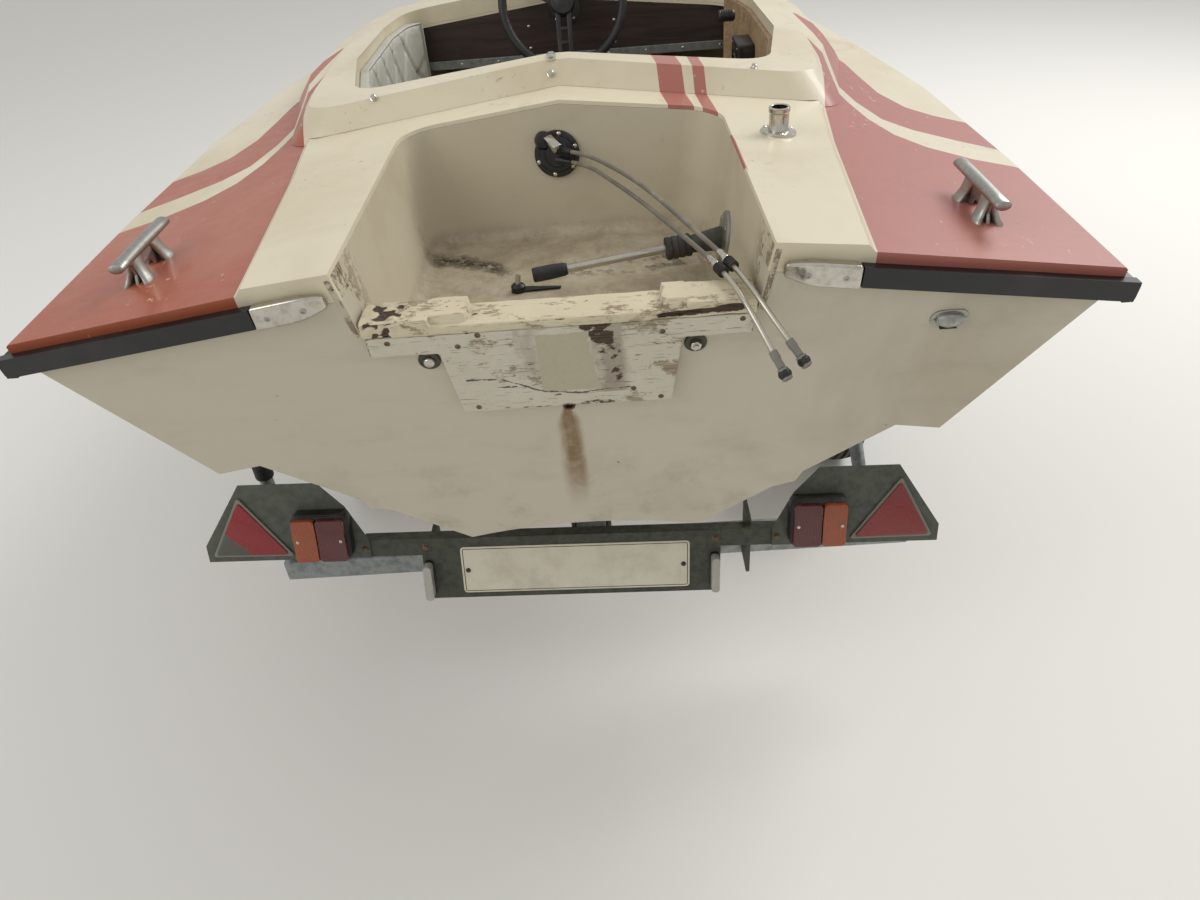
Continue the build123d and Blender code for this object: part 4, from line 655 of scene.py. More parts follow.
def tube(bm, sections, steps=16, endless=False):
    # skin over oval sections of (place, half width, half height), with flat ends or joined to a ring
    loops = []
    for place, wide, high in sections:
        ring = bmesh.ops.create_circle(bm, segments=steps, radius=1.0)["verts"]
        for vert in ring:
            vert.co = place @ Vector((vert.co.x * wide, vert.co.y * high, 0))
        loops.append(list(dict.fromkeys(e for v in ring for e in v.link_edges)))
    for first, second in zip(loops, loops[1:] + loops[:1] if endless else loops[1:]):
        bmesh.ops.bridge_loops(bm, edges=first + second)
    for end in () if endless else (loops[0], loops[-1]):
        bmesh.ops.contextual_create(bm, geom=end)


def rod(bm, start, end, radius, steps=14, material=0, soft=0.0):
    long = (Vector(end) - Vector(start)).length
    profile = [(0, 0), (radius, 0), (radius, long), (0, long)]
    if soft:
        profile = [(0, 0), (radius - soft, 0), (radius, soft), (radius, long - soft), (radius - soft, long),
                   (0, long)]
    lathe(bm, profile, facing(start, Vector(end) - Vector(start)), steps, material)


def hexHead(bm, place, across, high, washer=0.0, material=0):
    # hexagon head on its washer, pointing along the local Z
    base = 0.0
    if washer:
        base = washer * 0.16
        lathe(bm, [(0, 0), (washer, 0), (washer, base * 0.7), (washer * 0.92, base), (0, base)], place, 20,
              material)
    outline = [(across * 0.577 * math.cos(math.pi / 3 * k), across * 0.577 * math.sin(math.pi / 3 * k))
               for k in range(6)]
    slab(bm, outline, base, base + high, place, across * 0.06, material, 1)


def screwHead(bm, place, radius, material=0):
    # domed head with a sunk middle
    lathe(bm, [(0, radius * 0.16), (radius * 0.20, radius * 0.18), (radius * 0.26, radius * 0.42),
               (radius * 0.6, radius * 0.38), (radius * 0.93, radius * 0.18), (radius, 0),
               (0, -radius * 0.1)],
          place, 14, material)


def spotsRound(place, count, radius, height, first):
    # points at even steps round the local Z of place, the first one turned by so many degrees
    turns = [math.radians(first + 360 * k / count) for k in range(count)]
    return [place @ Vector((radius * math.cos(turn), radius * math.sin(turn), height)) for turn in turns]


def smoothed(bm, angle):
    bmesh.ops.recalc_face_normals(bm, faces=bm.faces)
    for face in bm.faces:
        face.smooth = True
    for edge in bm.edges:
        edge.smooth = len(edge.link_faces) == 2 and edge.calc_face_angle(0) < math.radians(angle)


def piece(name, bm, paintNames, node, slot=None, angle=32, added=False):
    # a finished mesh that stands for the node; with added or a slot of its own it only rides with it
    smoothed(bm, angle)
    mesh = bpy.data.meshes.new(name)
    bm.to_mesh(mesh)
    bm.free()
    for paintName in ([paintNames] if isinstance(paintNames, str) else paintNames):
        mesh.materials.append(paints[paintName])
    thing = bpy.data.objects.new(name, mesh)
    scene.collection.objects.link(thing)
    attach(thing, bodyOf[node])
    if not (added or slot):
        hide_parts(node)
    return thing


def solidOf(node):
    # the node's mesh, merged, with its flat areas joined
    bm = bmesh.new()
    bm.from_mesh(nodes[node].data)
    bmesh.ops.remove_doubles(bm, verts=bm.verts, dist=2e-5)
    bmesh.ops.dissolve_limit(bm, angle_limit=math.radians(0.6), verts=bm.verts, edges=bm.edges)
    for face in bm.faces:
        face.material_index = 0
    return bm


def islands(node):
    # lowest and highest corner of each separate solid of a node, from port to starboard, then from aft
    bm = bmesh.new()
    bm.from_mesh(nodes[node].data)
    bmesh.ops.remove_doubles(bm, verts=bm.verts, dist=2e-5)
    left, found = dict.fromkeys(bm.verts), []
    while left:
        group = linked([next(iter(left))])
        for vert in group:
            del left[vert]
        spots = [v.co.copy() for v in group]
        found.append((Vector([min(s[k] for s in spots) for k in range(3)]),
                      Vector([max(s[k] for s in spots) for k in range(3)])))
    bm.free()
    return sorted(found, key=lambda pair: (round(pair[0].x, 2), pair[0].y))


def roundEdges(thing, width, segments, angle):
    rounding = thing.modifiers.new("rounding", "BEVEL")
    rounding.width = width
    rounding.segments = segments
    rounding.limit_method = "ANGLE"
    rounding.angle_limit = math.radians(angle)
    rounding.harden_normals = True


def refined(node, bevel=0.0, angle=28, segments=2):
    # the CAD shape with small rounded edges
    thing = piece(node + "Skin", solidOf(node), nodePaint[node], node, angle=angle)
    if bevel:
        roundEdges(thing, bevel, segments, angle)


def applied(thing):
    # works the modifiers into the mesh
    graph = bpy.context.evaluated_depsgraph_get()
    worked = bpy.data.meshes.new_from_object(thing.evaluated_get(graph))
    thing.modifiers.clear()
    old, thing.data = thing.data, worked
    bpy.data.meshes.remove(old)
    return thing


def remeshed(thing, size):
    # even cells all over, of the given size
    cells = thing.modifiers.new("cells", "REMESH")
    cells.mode = "VOXEL"
    cells.voxel_size = size
    return applied(thing)


def surfaceOf(mesh):
    # for finding where a ray meets the mesh, or what lies nearest on it
    bm = bmesh.new()
    bm.from_mesh(mesh)
    tree = BVHTree.FromBMesh(bm)
    bm.free()
    return tree


print("shaping ready")

# mouldings with their edges rounded
for nodeName, width in (("hull", 0.0025), ("deck", 0.005), ("motor_well", 0.003), ("coaming", 0.005),
                        ("rub_rail", 0.004)):
    refined(nodeName, width, segments=3)
for nodeName in ("sole", "seat_base", "side_panel", "dashboard", "screen_rail"):
    refined(nodeName, 0.002)
print("mouldings rounded")

# control cables
cables = {"radius": 0.004}
routes = {
    "upperCable": [(0.01804, -1.89846, 1.18141), (0.05144, -1.93000, 1.18373), (0.103, -2.00328, 1.178),
                   (0.143, -2.08828, 1.178), (0.180, -2.18128, 1.174), (0.214, -2.26828, 1.168),
                   (0.244, -2.34328, 1.163), (0.264, -2.40928, 1.161), (0.279, -2.47028, 1.158),
                   (0.298, -2.50928, 1.137), (0.320, -2.53528, 1.110)],
    "lowerCable": [(0.01804, -1.89846, 1.16141), (0.05144, -1.93000, 1.16373), (0.095, -2.01328, 1.159),
                   (0.132, -2.10128, 1.161), (0.168, -2.19528, 1.161), (0.201, -2.28328, 1.160),
                   (0.229, -2.35728, 1.159), (0.247, -2.41728, 1.158), (0.260, -2.47528, 1.156),
                   (0.277, -2.51728, 1.133), (0.296, -2.54728, 1.101)],
}


def layCable(name, points):
    line = bpy.data.curves.new(name, "CURVE")
    line.dimensions = "3D"
    line.bevel_depth = cables["radius"]
    line.bevel_resolution = 4
    line.resolution_u = 8
    line.use_fill_caps = True
    run = line.splines.new("NURBS")
    run.points.add(len(points) - 1)
    for spot, place in zip(run.points, points):
        spot.co = (*place, 1)
    run.order_u = 3
    run.use_endpoint_u = True
    cable = bpy.data.objects.new(name, line)
    scene.collection.objects.link(cable)
    line.materials.append(paints["cable"])
    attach(cable, root)
    return cable


# silver crimp and ribbed black collar on each cable as (radius, length), and the ball joint at its end
fittings = {"bore": 0.0042, "crimp": (0.0062, 0.030), "collar": (0.0088, 0.022),
            "ball": 0.0095, "ballAt": 0.034}


def addCableFittings():
    sleeves, ends = bmesh.new(), bmesh.new()
    radius, long = fittings["crimp"]
    wide, deep = fittings["collar"]
    bore, ball, size = fittings["bore"], fittings["ballAt"], fittings["ball"]
    for points in routes.values():
        near, far = Vector(points[6]), Vector(points[7])
        way = (far - near).normalized()
        middle = (near + far) / 2
        crimp = facing(middle - way * 0.030, way)
        lathe(sleeves, [(bore, 0), (radius * 0.8, 0), (radius * 0.86, 0.003), (radius, 0.004),
                        (radius, long * 0.42), (radius * 0.8, long * 0.46), (radius * 0.8, long * 0.54),
                        (radius, long * 0.58), (radius, long - 0.002), (radius * 0.8, long), (bore, long),
                        (bore, 0)], crimp, 14, 1)
        collar = facing(middle + way * 0.002, way)
        ribs = [(bore, 0)]
        for at in range(5):
            ribs += [(wide * 0.80, deep * (at / 5 + 0.02)), (wide, deep * (at / 5 + 0.05)),
                     (wide, deep * (at / 5 + 0.14)), (wide * 0.80, deep * (at / 5 + 0.17))]
        lathe(sleeves, ribs + [(bore, deep), (bore, 0)], collar, 16, 0)
        tip = Vector(points[-1])
        out = (tip - Vector(points[-2])).normalized()
        lathe(ends, [(0, -0.002), (0.0062, -0.002), (0.0066, 0.010), (0.0058, 0.012), (0.0058, 0.024),
                     (0.0040, 0.026), (0, 0.026)], facing(tip, out), 16, 0)
        across = out.cross(Vector((0, 0, 1))).normalized()
        centre = tip + out * ball
        half = [(0, -size), (size * 0.55, -size * 0.85), (size * 0.95, -size * 0.35)]
        lathe(ends, half + [(size, 0)] + [(r, -h) for r, h in half[::-1]], facing(centre, across), 16, 1)
        lathe(ends, [(0, -0.0098), (0.0050, -0.0098), (0.0050, -0.0088), (0.0078, -0.0085),
                     (0.0078, 0.0085), (0.0050, 0.0088), (0.0050, 0.0098), (0, 0.0098)],
              facing(centre, out), 16, 0)
    piece("cableSleeves", sleeves, ("black", "chrome"), "cable_sleeves")
    piece("cableEnds", ends, ("greyMoulding", "black"), "cable_ends")


upperCable = layCable("upperCable", routes["upperCable"])
lowerCable = layCable("lowerCable", routes["lowerCable"])
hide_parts("cable_upper")
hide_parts("cable_lower")
addCableFittings()
print("cables laid")

# gland on the well's front wall
gland = {"centre": boat(-11, 582.25, 549.4), "out": Vector((0, -0.986, 0.167)),
         "radius": 0.044, "thick": 0.014, "nose": Vector((0.7261, -0.6857, 0.0504))}


def addGland():
    bm = bmesh.new()
    radius, back = gland["radius"], gland["thick"]
    face = facing(gland["centre"], gland["out"])
    lathe(bm, [(0, -back), (radius, -back), (radius, -0.008), (radius * 0.93, -0.005),
               (radius * 0.80, -0.005), (radius * 0.76, -0.001), (radius * 0.55, 0.0),
               (radius * 0.50, 0.004), (radius * 0.30, 0.005), (0, 0.005)], face, 40)
    for spot in spotsRound(face, 6, radius * 0.87, -0.0052, 20):
        screwHead(bm, facing(spot, gland["out"]), 0.0042, 1)
    # lump of the boot at its upper port side, square nose between the two leads
    lump = face @ Vector((-radius * 0.55, radius * 0.62, -0.004))
    lathe(bm, [(0, -0.006), (0.017, -0.006), (0.017, 0.004), (0.013, 0.012), (0, 0.014)],
          facing(lump, gland["out"]), 20)
    for rise in (0.010, -0.010):
        start = gland["centre"] + Vector((0, 0, rise))
        lathe(bm, [(0, 0), (0.0086, 0), (0.0086, 0.012), (0.0066, 0.026), (0.0056, 0.0395), (0, 0.0395)],
              facing(start, gland["nose"]), 16)
    nose = facing(gland["centre"] + Vector((-0.006, -0.014, 0.026)), Vector((0.42, -0.62, -0.28)))
    block(bm, (0.017, 0.013, 0.036), nose, 0.0012, 1)
    piece("cableGland", bm, ("black", "chrome"), "cable_gland")


addGland()

# steering guide on the well's starboard wall and the rod that slides in it
rodJoint = next(joint for joint in record["behaviour"]["joints"] if joint["name"] == "rod_slide")
steering = {"flangeAt": boat(283.9, 330, 466), "way": Vector(rodJoint["axis"]),
            "wallIn": Vector((-0.987, 0, 0.161)), "flange": 0.046, "flangeThick": 0.009, "guide": 0.016,
            "guideOut": 0.062, "guideIn": 0.262, "sleeve": 0.020, "sleeveLong": 0.046, "bore": 0.0075,
            "rod": 0.007, "reach": 0.345, "inside": 0.150, "end": 0.013, "endLong": 0.062}


def addSteering():
    s = steering
    bm = bmesh.new()
    start, way, bore, guide = s["flangeAt"], s["way"], s["bore"], s["guide"]
    disc = facing(start, s["wallIn"], (0, 0, 1))
    rim, thick = s["flange"], s["flangeThick"]
    lathe(bm, [(guide * 0.8, 0.0003), (rim, 0.0003), (rim, thick * 0.45), (rim * 0.94, thick * 0.7),
               (rim * 0.62, thick), (guide * 0.8, thick)], disc, 40)
    for spot in spotsRound(disc, 4, rim * 0.76, thick * 0.85, 45):
        screwHead(bm, facing(spot, s["wallIn"]), 0.0052)
    # dark cone behind the sleeve, then the ribbed sleeve itself
    near, far = -s["guideIn"], s["guideOut"]
    lathe(bm, [(bore, near), (guide, near), (guide, -0.01), (guide * 1.32, thick), (guide * 1.2, 0.024),
               (guide * 0.95, far), (bore, far), (bore, near)], facing(start, way), 24, 1)
    sleeve, long = s["sleeve"], s["sleeveLong"]
    ribs = [(bore, far)]
    for at in range(4):
        base = far + long * at / 4
        ribs += [(sleeve * 0.92, base + 0.001), (sleeve, base + 0.002), (sleeve, base + long / 4 - 0.002),
                 (sleeve * 0.92, base + long / 4 - 0.001)]
    lathe(bm, ribs + [(bore, far + long), (bore, far)], facing(start, way), 24, 2)
    piece("steeringGuide", bm, ("cast", "beam", "rubber"), "steering_guide")
    bm = bmesh.new()
    tip = start + way * s["reach"]
    back = -s["reach"] - s["inside"]
    lathe(bm, [(0, back), (s["rod"], back), (s["rod"], -s["endLong"] + 0.004), (0, -s["endLong"] + 0.004)],
          facing(tip, way), 20)
    end, long = s["end"], s["endLong"]
    lathe(bm, [(0, -long), (end * 0.75, -long), (end * 0.9, -long * 0.9), (end, -long * 0.55),
               (end, -0.003), (end * 0.85, 0), (0, 0)], facing(tip, way), 20, 1)
    piece("steeringRod", bm, ("steel", "rubber"), "steering_rod")
    # black plate with a round boss and a short steel pin, lying on the well's floor under the rod's end
    bm = bmesh.new()
    floor = boat(-72, 327, 392.6)
    slab(bm, [(-0.030, -0.010), (0.058, -0.004), (0.060, 0.002), (-0.024, 0.012)], 0, 0.004,
         facing(floor, (0, 0, 1)), 0.001)
    lathe(bm, [(0, 0), (0.013, 0), (0.013, 0.010), (0.009, 0.014), (0, 0.014)],
          facing(floor + Vector((-0.018, 0, 0)), (0, 0, 1)), 18)
    rod(bm, floor + Vector((-0.018, 0, 0.012)), floor + Vector((-0.016, 0.002, 0.030)), 0.005, 12, 1)
    piece("blackFloorPlate", bm, ("black", "steel"), "motor_well", slot="black_plastic")


addSteering()
print("steering gear made")


# weathered wood on the transom
wood = {"padCell": 0.0024, "boardCell": 0.0025, "rotDeep": 3.2}


def bumpy(spot, scale, seed=0.0):
    # -1 to 1, in lumps of about 1 / scale
    return noise.noise(Vector(spot) * scale + Vector((seed, seed * 1.7, seed * 0.3)))


def near(value, low, high):
    # 1 below low, 0 above high
    return min(1.0, max(0.0, (high - value) / (high - low)))


def onWood(spot):
    # place in the boat's millimetres, and how far it stands off the transom
    local = (spot - boatZero) * 1000
    return local, (spot - onTransom(0, local.z)).dot(transomOut) * 1000


def carveRotAndShade(thing, change):
    # moves every vertex along its normal and keeps how rotten the place is, with any painted shade that the
    # change gives
    mesh = thing.data
    worn = mesh.attributes.new("rotAndShade", "FLOAT", "POINT")
    normals = [vert.normal.copy() for vert in mesh.vertices]
    for index, vert in enumerate(mesh.vertices):
        local, proud = onWood(vert.co)
        move, worn.data[index].value = change(local.x, local.z, proud, vert.co)
        vert.co += normals[index] * move / 1000
    mesh.shade_smooth()


def padChange(x, z, proud, spot):
    # dark soft place to starboard of the patch, frayed outer ends, cracks as shallow grooves
    ragged = bumpy(spot, 42, 3) * 10
    dark = near(abs(x - (70 - (z - 450) * 0.35)) + ragged, 14, 30) * near(455 - z + ragged, -6, 18)
    dark = max(dark, near(abs(x - 78) + ragged * 1.3, 4, 13) * near(abs(z - 420) + ragged, 30, 48) * 0.72)
    foot = near(z + ragged * 0.7, 342, 351) * near(abs(x) + ragged, 60, 110) * 0.8
    outer = near(282 - abs(x) + ragged * 0.6, 0, 7)
    face = near(13.6 - proud, 0.0, 3.0)
    lumps = bumpy(spot, 60) * 0.5 + bumpy(spot, 170) * 0.35
    move = lumps - dark * (wood["rotDeep"] + bumpy(spot, 150) * 2.2) * face - outer * 2.5 - foot * 1.5
    return min(move, 0.6), min(1.0, max(dark * (0.75 + bumpy(spot, 90) * 0.6), foot * 0.7, outer * 0.5))


def boardChange(x, z, proud, spot):
    # rot pits at the port end, splinters at the starboard end, ragged aft edge, a groove low on the front
    # darkened as a painted shadow line above the pad, and a dark line at the raised ends' steps
    ragged = bumpy(spot, 38, 5) * 12
    edge = near(14 - proud, 0, 9) * near((526 if abs(x) > 186 else 514) - z, 0, 8)
    chewed = max(0.0, bumpy(spot, 30, 9) + bumpy(spot, 85, 2) * 0.7) * edge
    portPits = near(abs(x + 252) + ragged, 12, 34) * max(0.0, bumpy(spot, 70, 4) + 0.25)
    # the groove is carved, and its dark colour is a painted shadow line between board and pad
    gap = near(abs(z - 503 - (x - 136) * 0.05) + ragged * 0.25, 3, 8) * near(abs(x - 205) + ragged, 52, 74)
    fibre = noise.noise(Vector((spot.x * 14, spot.y * 90, spot.z * 90)))
    splinter = near(abs(x - 240), 30, 50) * max(0.0, fibre) * 1.6
    step = near(abs(abs(x + 10) - 142) + ragged * 0.2, 1, 5) * 0.6
    lumps = bumpy(spot, 50) * 0.6 + bumpy(spot, 160) * 0.4
    face = near(13.6 - proud, 0, 3)
    move = lumps - chewed * 7 - portPits * 5 - gap * face * 6 - splinter * 2.5
    boardRotAndShade = max(portPits * 1.5, gap * face, chewed * 1.3, splinter * 0.5, step * 0.5)
    return min(move, 0.7), min(1.0, boardRotAndShade)


def raiseEnds(thing):
    # the upper layer of each end reaches further in than the front edge shows
    for vert in thing.data.vertices:
        local, proud = onWood(vert.co)
        ragged = bumpy(vert.co, 38, 5) * 5
        further = -188 < local.x < -132 + ragged or 152 + ragged < local.x < 188
        if further and 511 < local.z < 525.5 and proud < 1 + ragged:
            vert.co.z = boatZero.z + 0.5256
    return thing


def addWood():
    pad = piece("transomPad", solidOf("transom_pad"), "padWood", "transom_pad")
    carveRotAndShade(remeshed(pad, wood["padCell"]), padChange)
    board = piece("clampBoard", solidOf("clamp_board"), "boardWood", "clamp_board")
    carveRotAndShade(raiseEnds(remeshed(board, wood["boardCell"])), boardChange)


addWood()
print("wood carved")

# bolts, washers, screws and the drain on the transom
sternMetal = {"bolts": (200, 444), "washer": (0.017, 0.004), "head": (0.009, 0.008), "drain": (0, 330),
              "vent": (572, 457),
              "screws": [(-251, 492), (-118, 496), (266, 494), (104, 371), (-150, 478), (150, 480),
                         (-140, 352), (146, 350)]}


def addSternMetal():
    washer, thick = sternMetal["washer"]
    head, high = sternMetal["head"]
    bm = bmesh.new()
    for side in (1, -1):
        place = facing(onTransom(side * sternMetal["bolts"][0], sternMetal["bolts"][1]), transomOut)
        lathe(bm, [(0, 0), (washer, 0), (washer, thick * 0.55), (washer * 0.93, thick * 0.9),
                   (washer * 0.80, thick), (washer * 0.62, thick * 0.8), (0, thick * 0.8)], place, 32, 1)
        top = place @ Matrix.Translation((0, 0, thick * 0.8))
        if side > 0:
            hexHead(bm, top @ Matrix.Rotation(0.3, 4, "Z"), head * 1.7, high)
            lathe(bm, [(0, high), (head * 0.52, high), (head * 0.46, high + 0.003), (0, high + 0.0035)],
                  top, 18)
        else:
            lathe(bm, [(0, 0), (head, 0), (head, high * 0.45), (head * 0.86, high * 0.75),
                       (head * 0.5, high), (0, high * 1.05)], top, 28)
    piece("transomBolts", bm, ("chrome", "beam"), "transom_bolts")
    bm = bmesh.new()
    for x, z in sternMetal["screws"]:
        screwHead(bm, facing(onTransom(x, z, 13.4), transomOut), 0.0048)
    piece("padScrews", bm, "bolt", "transom_pad", slot="bright_steel")
    bm = bmesh.new()
    lathe(bm, [(0.0066, -0.012), (0.0078, -0.012), (0.0078, 0.0002), (0.0102, 0.0002), (0.0102, 0.0012),
               (0.0092, 0.0020), (0.0074, 0.0020), (0.0066, 0.0010), (0.0066, -0.012)],
          facing(onTransom(*sternMetal["drain"]), transomOut), 28)
    piece("drainRing", bm, "bolt", "hull", slot="bright_steel")
    # clamshell over the vent: plate, closed hood with a black block at its lower edge as painted shade of
    # the open mouth, two screws
    bm = bmesh.new()
    vent = facing(onTransom(*sternMetal["vent"]), transomOut)
    outline = [(12 * side + 16 * math.cos(angle), 16 * math.sin(angle))
               for side, start in ((1, -90), (-1, 90))
               for angle in [math.radians(start + 15 * k) for k in range(13)]]
    slab(bm, inMetres(outline), 0, 0.002, vent, 0.0006)
    loops = []
    for share in (0.0, 0.35, 0.62, 0.82, 0.94, 0.99):
        height = 0.002 + 0.0135 * share
        wide = 1 - share ** 3 * 0.9
        loops.append((vent @ Matrix.Translation((0, 0.0005, height)), 0.0215 * wide, 0.0135 * wide))
    tube(bm, loops, 28)
    # black block: painted shade in place of the hood's open mouth
    mouthShadeBlock = [(-13, -14.5), (13, -14.5), (10, -12), (-10, -12)]
    slab(bm, inMetres(mouthShadeBlock), 0.002, 0.0085, vent, 0.0005, 1)
    for side in (1, -1):
        screwHead(bm, vent @ Matrix.Translation((0.0243 * side, 0, 0.0018)), 0.0028)
    piece("ventShell", bm, ("cast", "black"), "vent_cover")


addSternMetal()

# closed edge of the cut-out's two sides, from the well's wall to the transom's face
# the wall is given by how far out it stands, at what level, and how much it leans
cutEdge = {"low": 496, "high": 600, "fore": 34, "wall": (272, 380, 0.161), "thick": 0.009, "proud": 0.0008}


def addCutEdges():
    bm = bmesh.new()
    half, base, lean = cutEdge["wall"]
    low, high, fore = cutEdge["low"], cutEdge["high"], cutEdge["fore"]
    aft = [(transom["foot"] - level) * math.tan(transom["rake"]) - 0.8 for level in (low, high)]
    outline = [(y / 1000, (z - low) * math.hypot(1, lean) / 1000)
               for y, z in ((aft[0], low), (fore, low), (fore, high), (aft[1], high))]
    for side in (1, -1):
        foot = boat(side * (half + lean * (low - base)), 0, low)
        span = (-cutEdge["proud"], cutEdge["thick"]) if side > 0 else (-cutEdge["thick"], cutEdge["proud"])
        slab(bm, outline, *span, facing(foot, Vector((1, 0, -side * lean)), (0, 1, 0)), 0.0025)
    piece("cutOutEdges", bm, "well", "motor_well", added=True)


addCutEdges()


# bright caps where the rub rail ends beside the well, drawn in over their last stretch
rubCap = {"rings": (0.330, 0.342, 0.356, 0.372), "taperFrom": 372, "taperLong": 52, "level": 561.5,
          "slope": 0.157, "narrowed": 0.42, "thinned": 0.008, "screws": ((351, 18.6), (404, 19.2))}


def capLevel(x):
    # height of the cap's middle line
    return rubCap["level"] + (rubCap["taperFrom"] - x) * rubCap["slope"]


def addRubCaps():
    bm = solidOf("rub_caps")
    for place in rubCap["rings"]:
        for side in (1, -1):
            bmesh.ops.bisect_plane(bm, geom=bm.verts[:] + bm.edges[:] + bm.faces[:],
                                   plane_co=(place * side, 0, 0), plane_no=(1, 0, 0))
    for vert in bm.verts:
        local = (vert.co - boatZero) * 1000
        share = max(0.0, (rubCap["taperFrom"] - abs(local.x)) / rubCap["taperLong"])
        lift = capLevel(abs(local.x)) - 3 * share - local.z
        vert.co.z += lift * rubCap["narrowed"] * share * share / 1000
        if (vert.co - onTransom(0, local.z)).dot(transomOut) > 0.012:
            vert.co -= transomOut * rubCap["thinned"] * share * share
    roundEdges(piece("rubCaps", bm, "chrome", "rub_caps"), 0.008, 5, 32)
    bm = bmesh.new()
    for side in (1, -1):
        for x, proud in rubCap["screws"]:
            screwHead(bm, facing(onTransom(x * side, capLevel(x), proud), transomOut), 0.0052)
    piece("capScrews", bm, "cast", "rub_caps", slot="bright_steel")


addRubCaps()

# cleats: half-round bar on two pairs of arched legs
# bar as (share of half its length, half width, half height)
# legs as (along, off, drop, half width, half thickness)
cleat = {"x": 650, "y": 171, "long": 188, "level": 594.6, "slope": 0.11,
         "bar": [(-1, 0.0105, 0.0062), (-0.985, 0.0118, 0.0074), (-0.7, 0.0112, 0.0082),
                 (-0.3, 0.0108, 0.0090)],
         "web": [(66, -3), (52, -14), (47, -30), (56, -50), (24, -50), (19, -36), (10, -28)],
         "leg": [(34, 1, 4, 21, 7.0), (36, 4, 14, 15, 6.5), (38, 8, 26, 13, 6.0), (41, 13, 38, 14, 6.5),
                 (44, 17, 46, 17, 7.5), (44, 17, 54, 17, 7.5)]}


def addCleats():
    bm = bmesh.new()
    for side in (1, -1):
        centre = boat(cleat["x"] * side, cleat["y"], cleat["level"])
        lying = facing(centre, (0, 1, 0), (1, 0, 0))
        bar = cleat["bar"] + [(-along, wide, high) for along, wide, high in cleat["bar"][::-1]]
        tube(bm, [(lying @ Matrix.Translation((0, 0, along * cleat["long"] / 2000)), wide, high)
                  for along, wide, high in bar], 24)
        # web under the bar with an arch cut in it, and four splayed legs under its ends
        web = [(-66, -3)] + cleat["web"] + [(0, -26)]
        web += [(-along, drop) for along, drop in cleat["web"][:0:-1]]
        slab(bm, inMetres(web), -0.0034, 0.0034, facing(centre, (1, 0, 0), (0, 1, 0)), 0.002)
        for end, hand in ((1, 1), (1, -1), (-1, 1), (-1, -1)):
            leg = []
            for along, off, drop, wide, thick in cleat["leg"]:
                spot = centre + Vector((off * hand, along * end,
                                        -drop - hand * off * side * cleat["slope"])) / 1000
                leg.append((facing(spot, (0.25 * hand, 0.1 * end, -1), (0, 1, 0)),
                            wide / 1000, thick / 1000))
            tube(bm, leg, 16)
    piece("cleatCastings", bm, "cast", "cleats", angle=50)


addCleats()


# pole socket: flange on the deck, barrel with its blind bore
socket = {"at": boat(393, 461, 600.4), "deckUp": (0.11, 0, 0.994),
          "rise": 0.0446, "bore": 0.014, "deep": 0.038}


def addSocket():
    bm = bmesh.new()
    flange = facing(socket["at"], socket["deckUp"])
    lathe(bm, [(0, -0.004), (0.0320, -0.004), (0.0320, 0.002), (0.0300, 0.0042), (0.0225, 0.0052),
               (0, 0.0052)],
          flange, 40)
    for spot in spotsRound(flange, 3, 0.0265, 0.0046, 30):
        screwHead(bm, facing(spot, socket["deckUp"]), 0.0042)
    top, bore, foot = socket["rise"], socket["bore"], socket["rise"] - socket["deep"]
    lathe(bm, [(0, foot), (bore, foot), (bore, top - 0.001), (0.0150, top), (0.0178, top),
               (0.0190, top - 0.0015), (0.0190, top - 0.008), (0.0176, top - 0.010), (0.0172, 0.010),
               (0.0200, 0.004), (0.0205, 0.0), (0, 0.0)], facing(socket["at"], (0, 0, 1)), 36)
    piece("poleSocket", bm, "chrome", "pole_socket")


addSocket()

# press studs and the cover's catch on the coaming
studs = [((-373.2, 716.9, 645.3), (0, -0.79, 0.62)), ((-15.5, 729.8, 661.7), (0, -0.79, 0.62)),
         ((388.4, 726.6, 644.2), (0.11, 0, 0.99))]
catch = ((-13.7, 747.1, 683.8), (-14.9, 791.4, 685.0))    # its two ends


def addStuds():
    bm = bmesh.new()
    for place, way in studs:
        lathe(bm, [(0, -0.002), (0.0078, -0.002), (0.0078, 0.0012), (0.0058, 0.0020), (0.0050, 0.0052),
                   (0.0056, 0.0070), (0.0040, 0.0084), (0, 0.0086)], facing(boat(*place), way), 20)
    low, high = (boat(*place) for place in catch)
    bed = facing((low + high) / 2, (0, -0.03, 1), high - low)
    base = [(-24, -9), (24, -9), (26, 0), (24, 9), (-24, 9), (-26, 0)]
    slab(bm, inMetres(base), -0.001, 0.0022, bed, 0.0007)
    lathe(bm, [(0, 0.002), (0.0065, 0.002), (0.0060, 0.006), (0, 0.0066)],
          bed @ Matrix.Translation((0.013, 0, 0)), 18)
    block(bm, (0.022, 0.010, 0.005), bed @ Matrix.Translation((-0.006, 0, 0.0045)), 0.0015)
    for side in (1, -1):
        screwHead(bm, bed @ Matrix.Translation((0.019 * side, 0.0048 * side, 0.002)), 0.0022)
    piece("coamingStuds", bm, "chrome", "coaming", slot="bright_steel")


addStuds()
print("stern fittings made")

# steering wheel and its column
helm = {"hub": boat(-12, 1600, 636), "lean": math.radians(20), "rim": 0.168, "bar": 0.012,
        "spokes": (-90, 30, 150), "ridges": 48, "shaft": 0.01005, "columnFrom": 0.016, "reach": 0.0999,
        "plate": (99.6, 100)}
helm["way"] = Vector((0, -math.cos(helm["lean"]), math.sin(helm["lean"])))


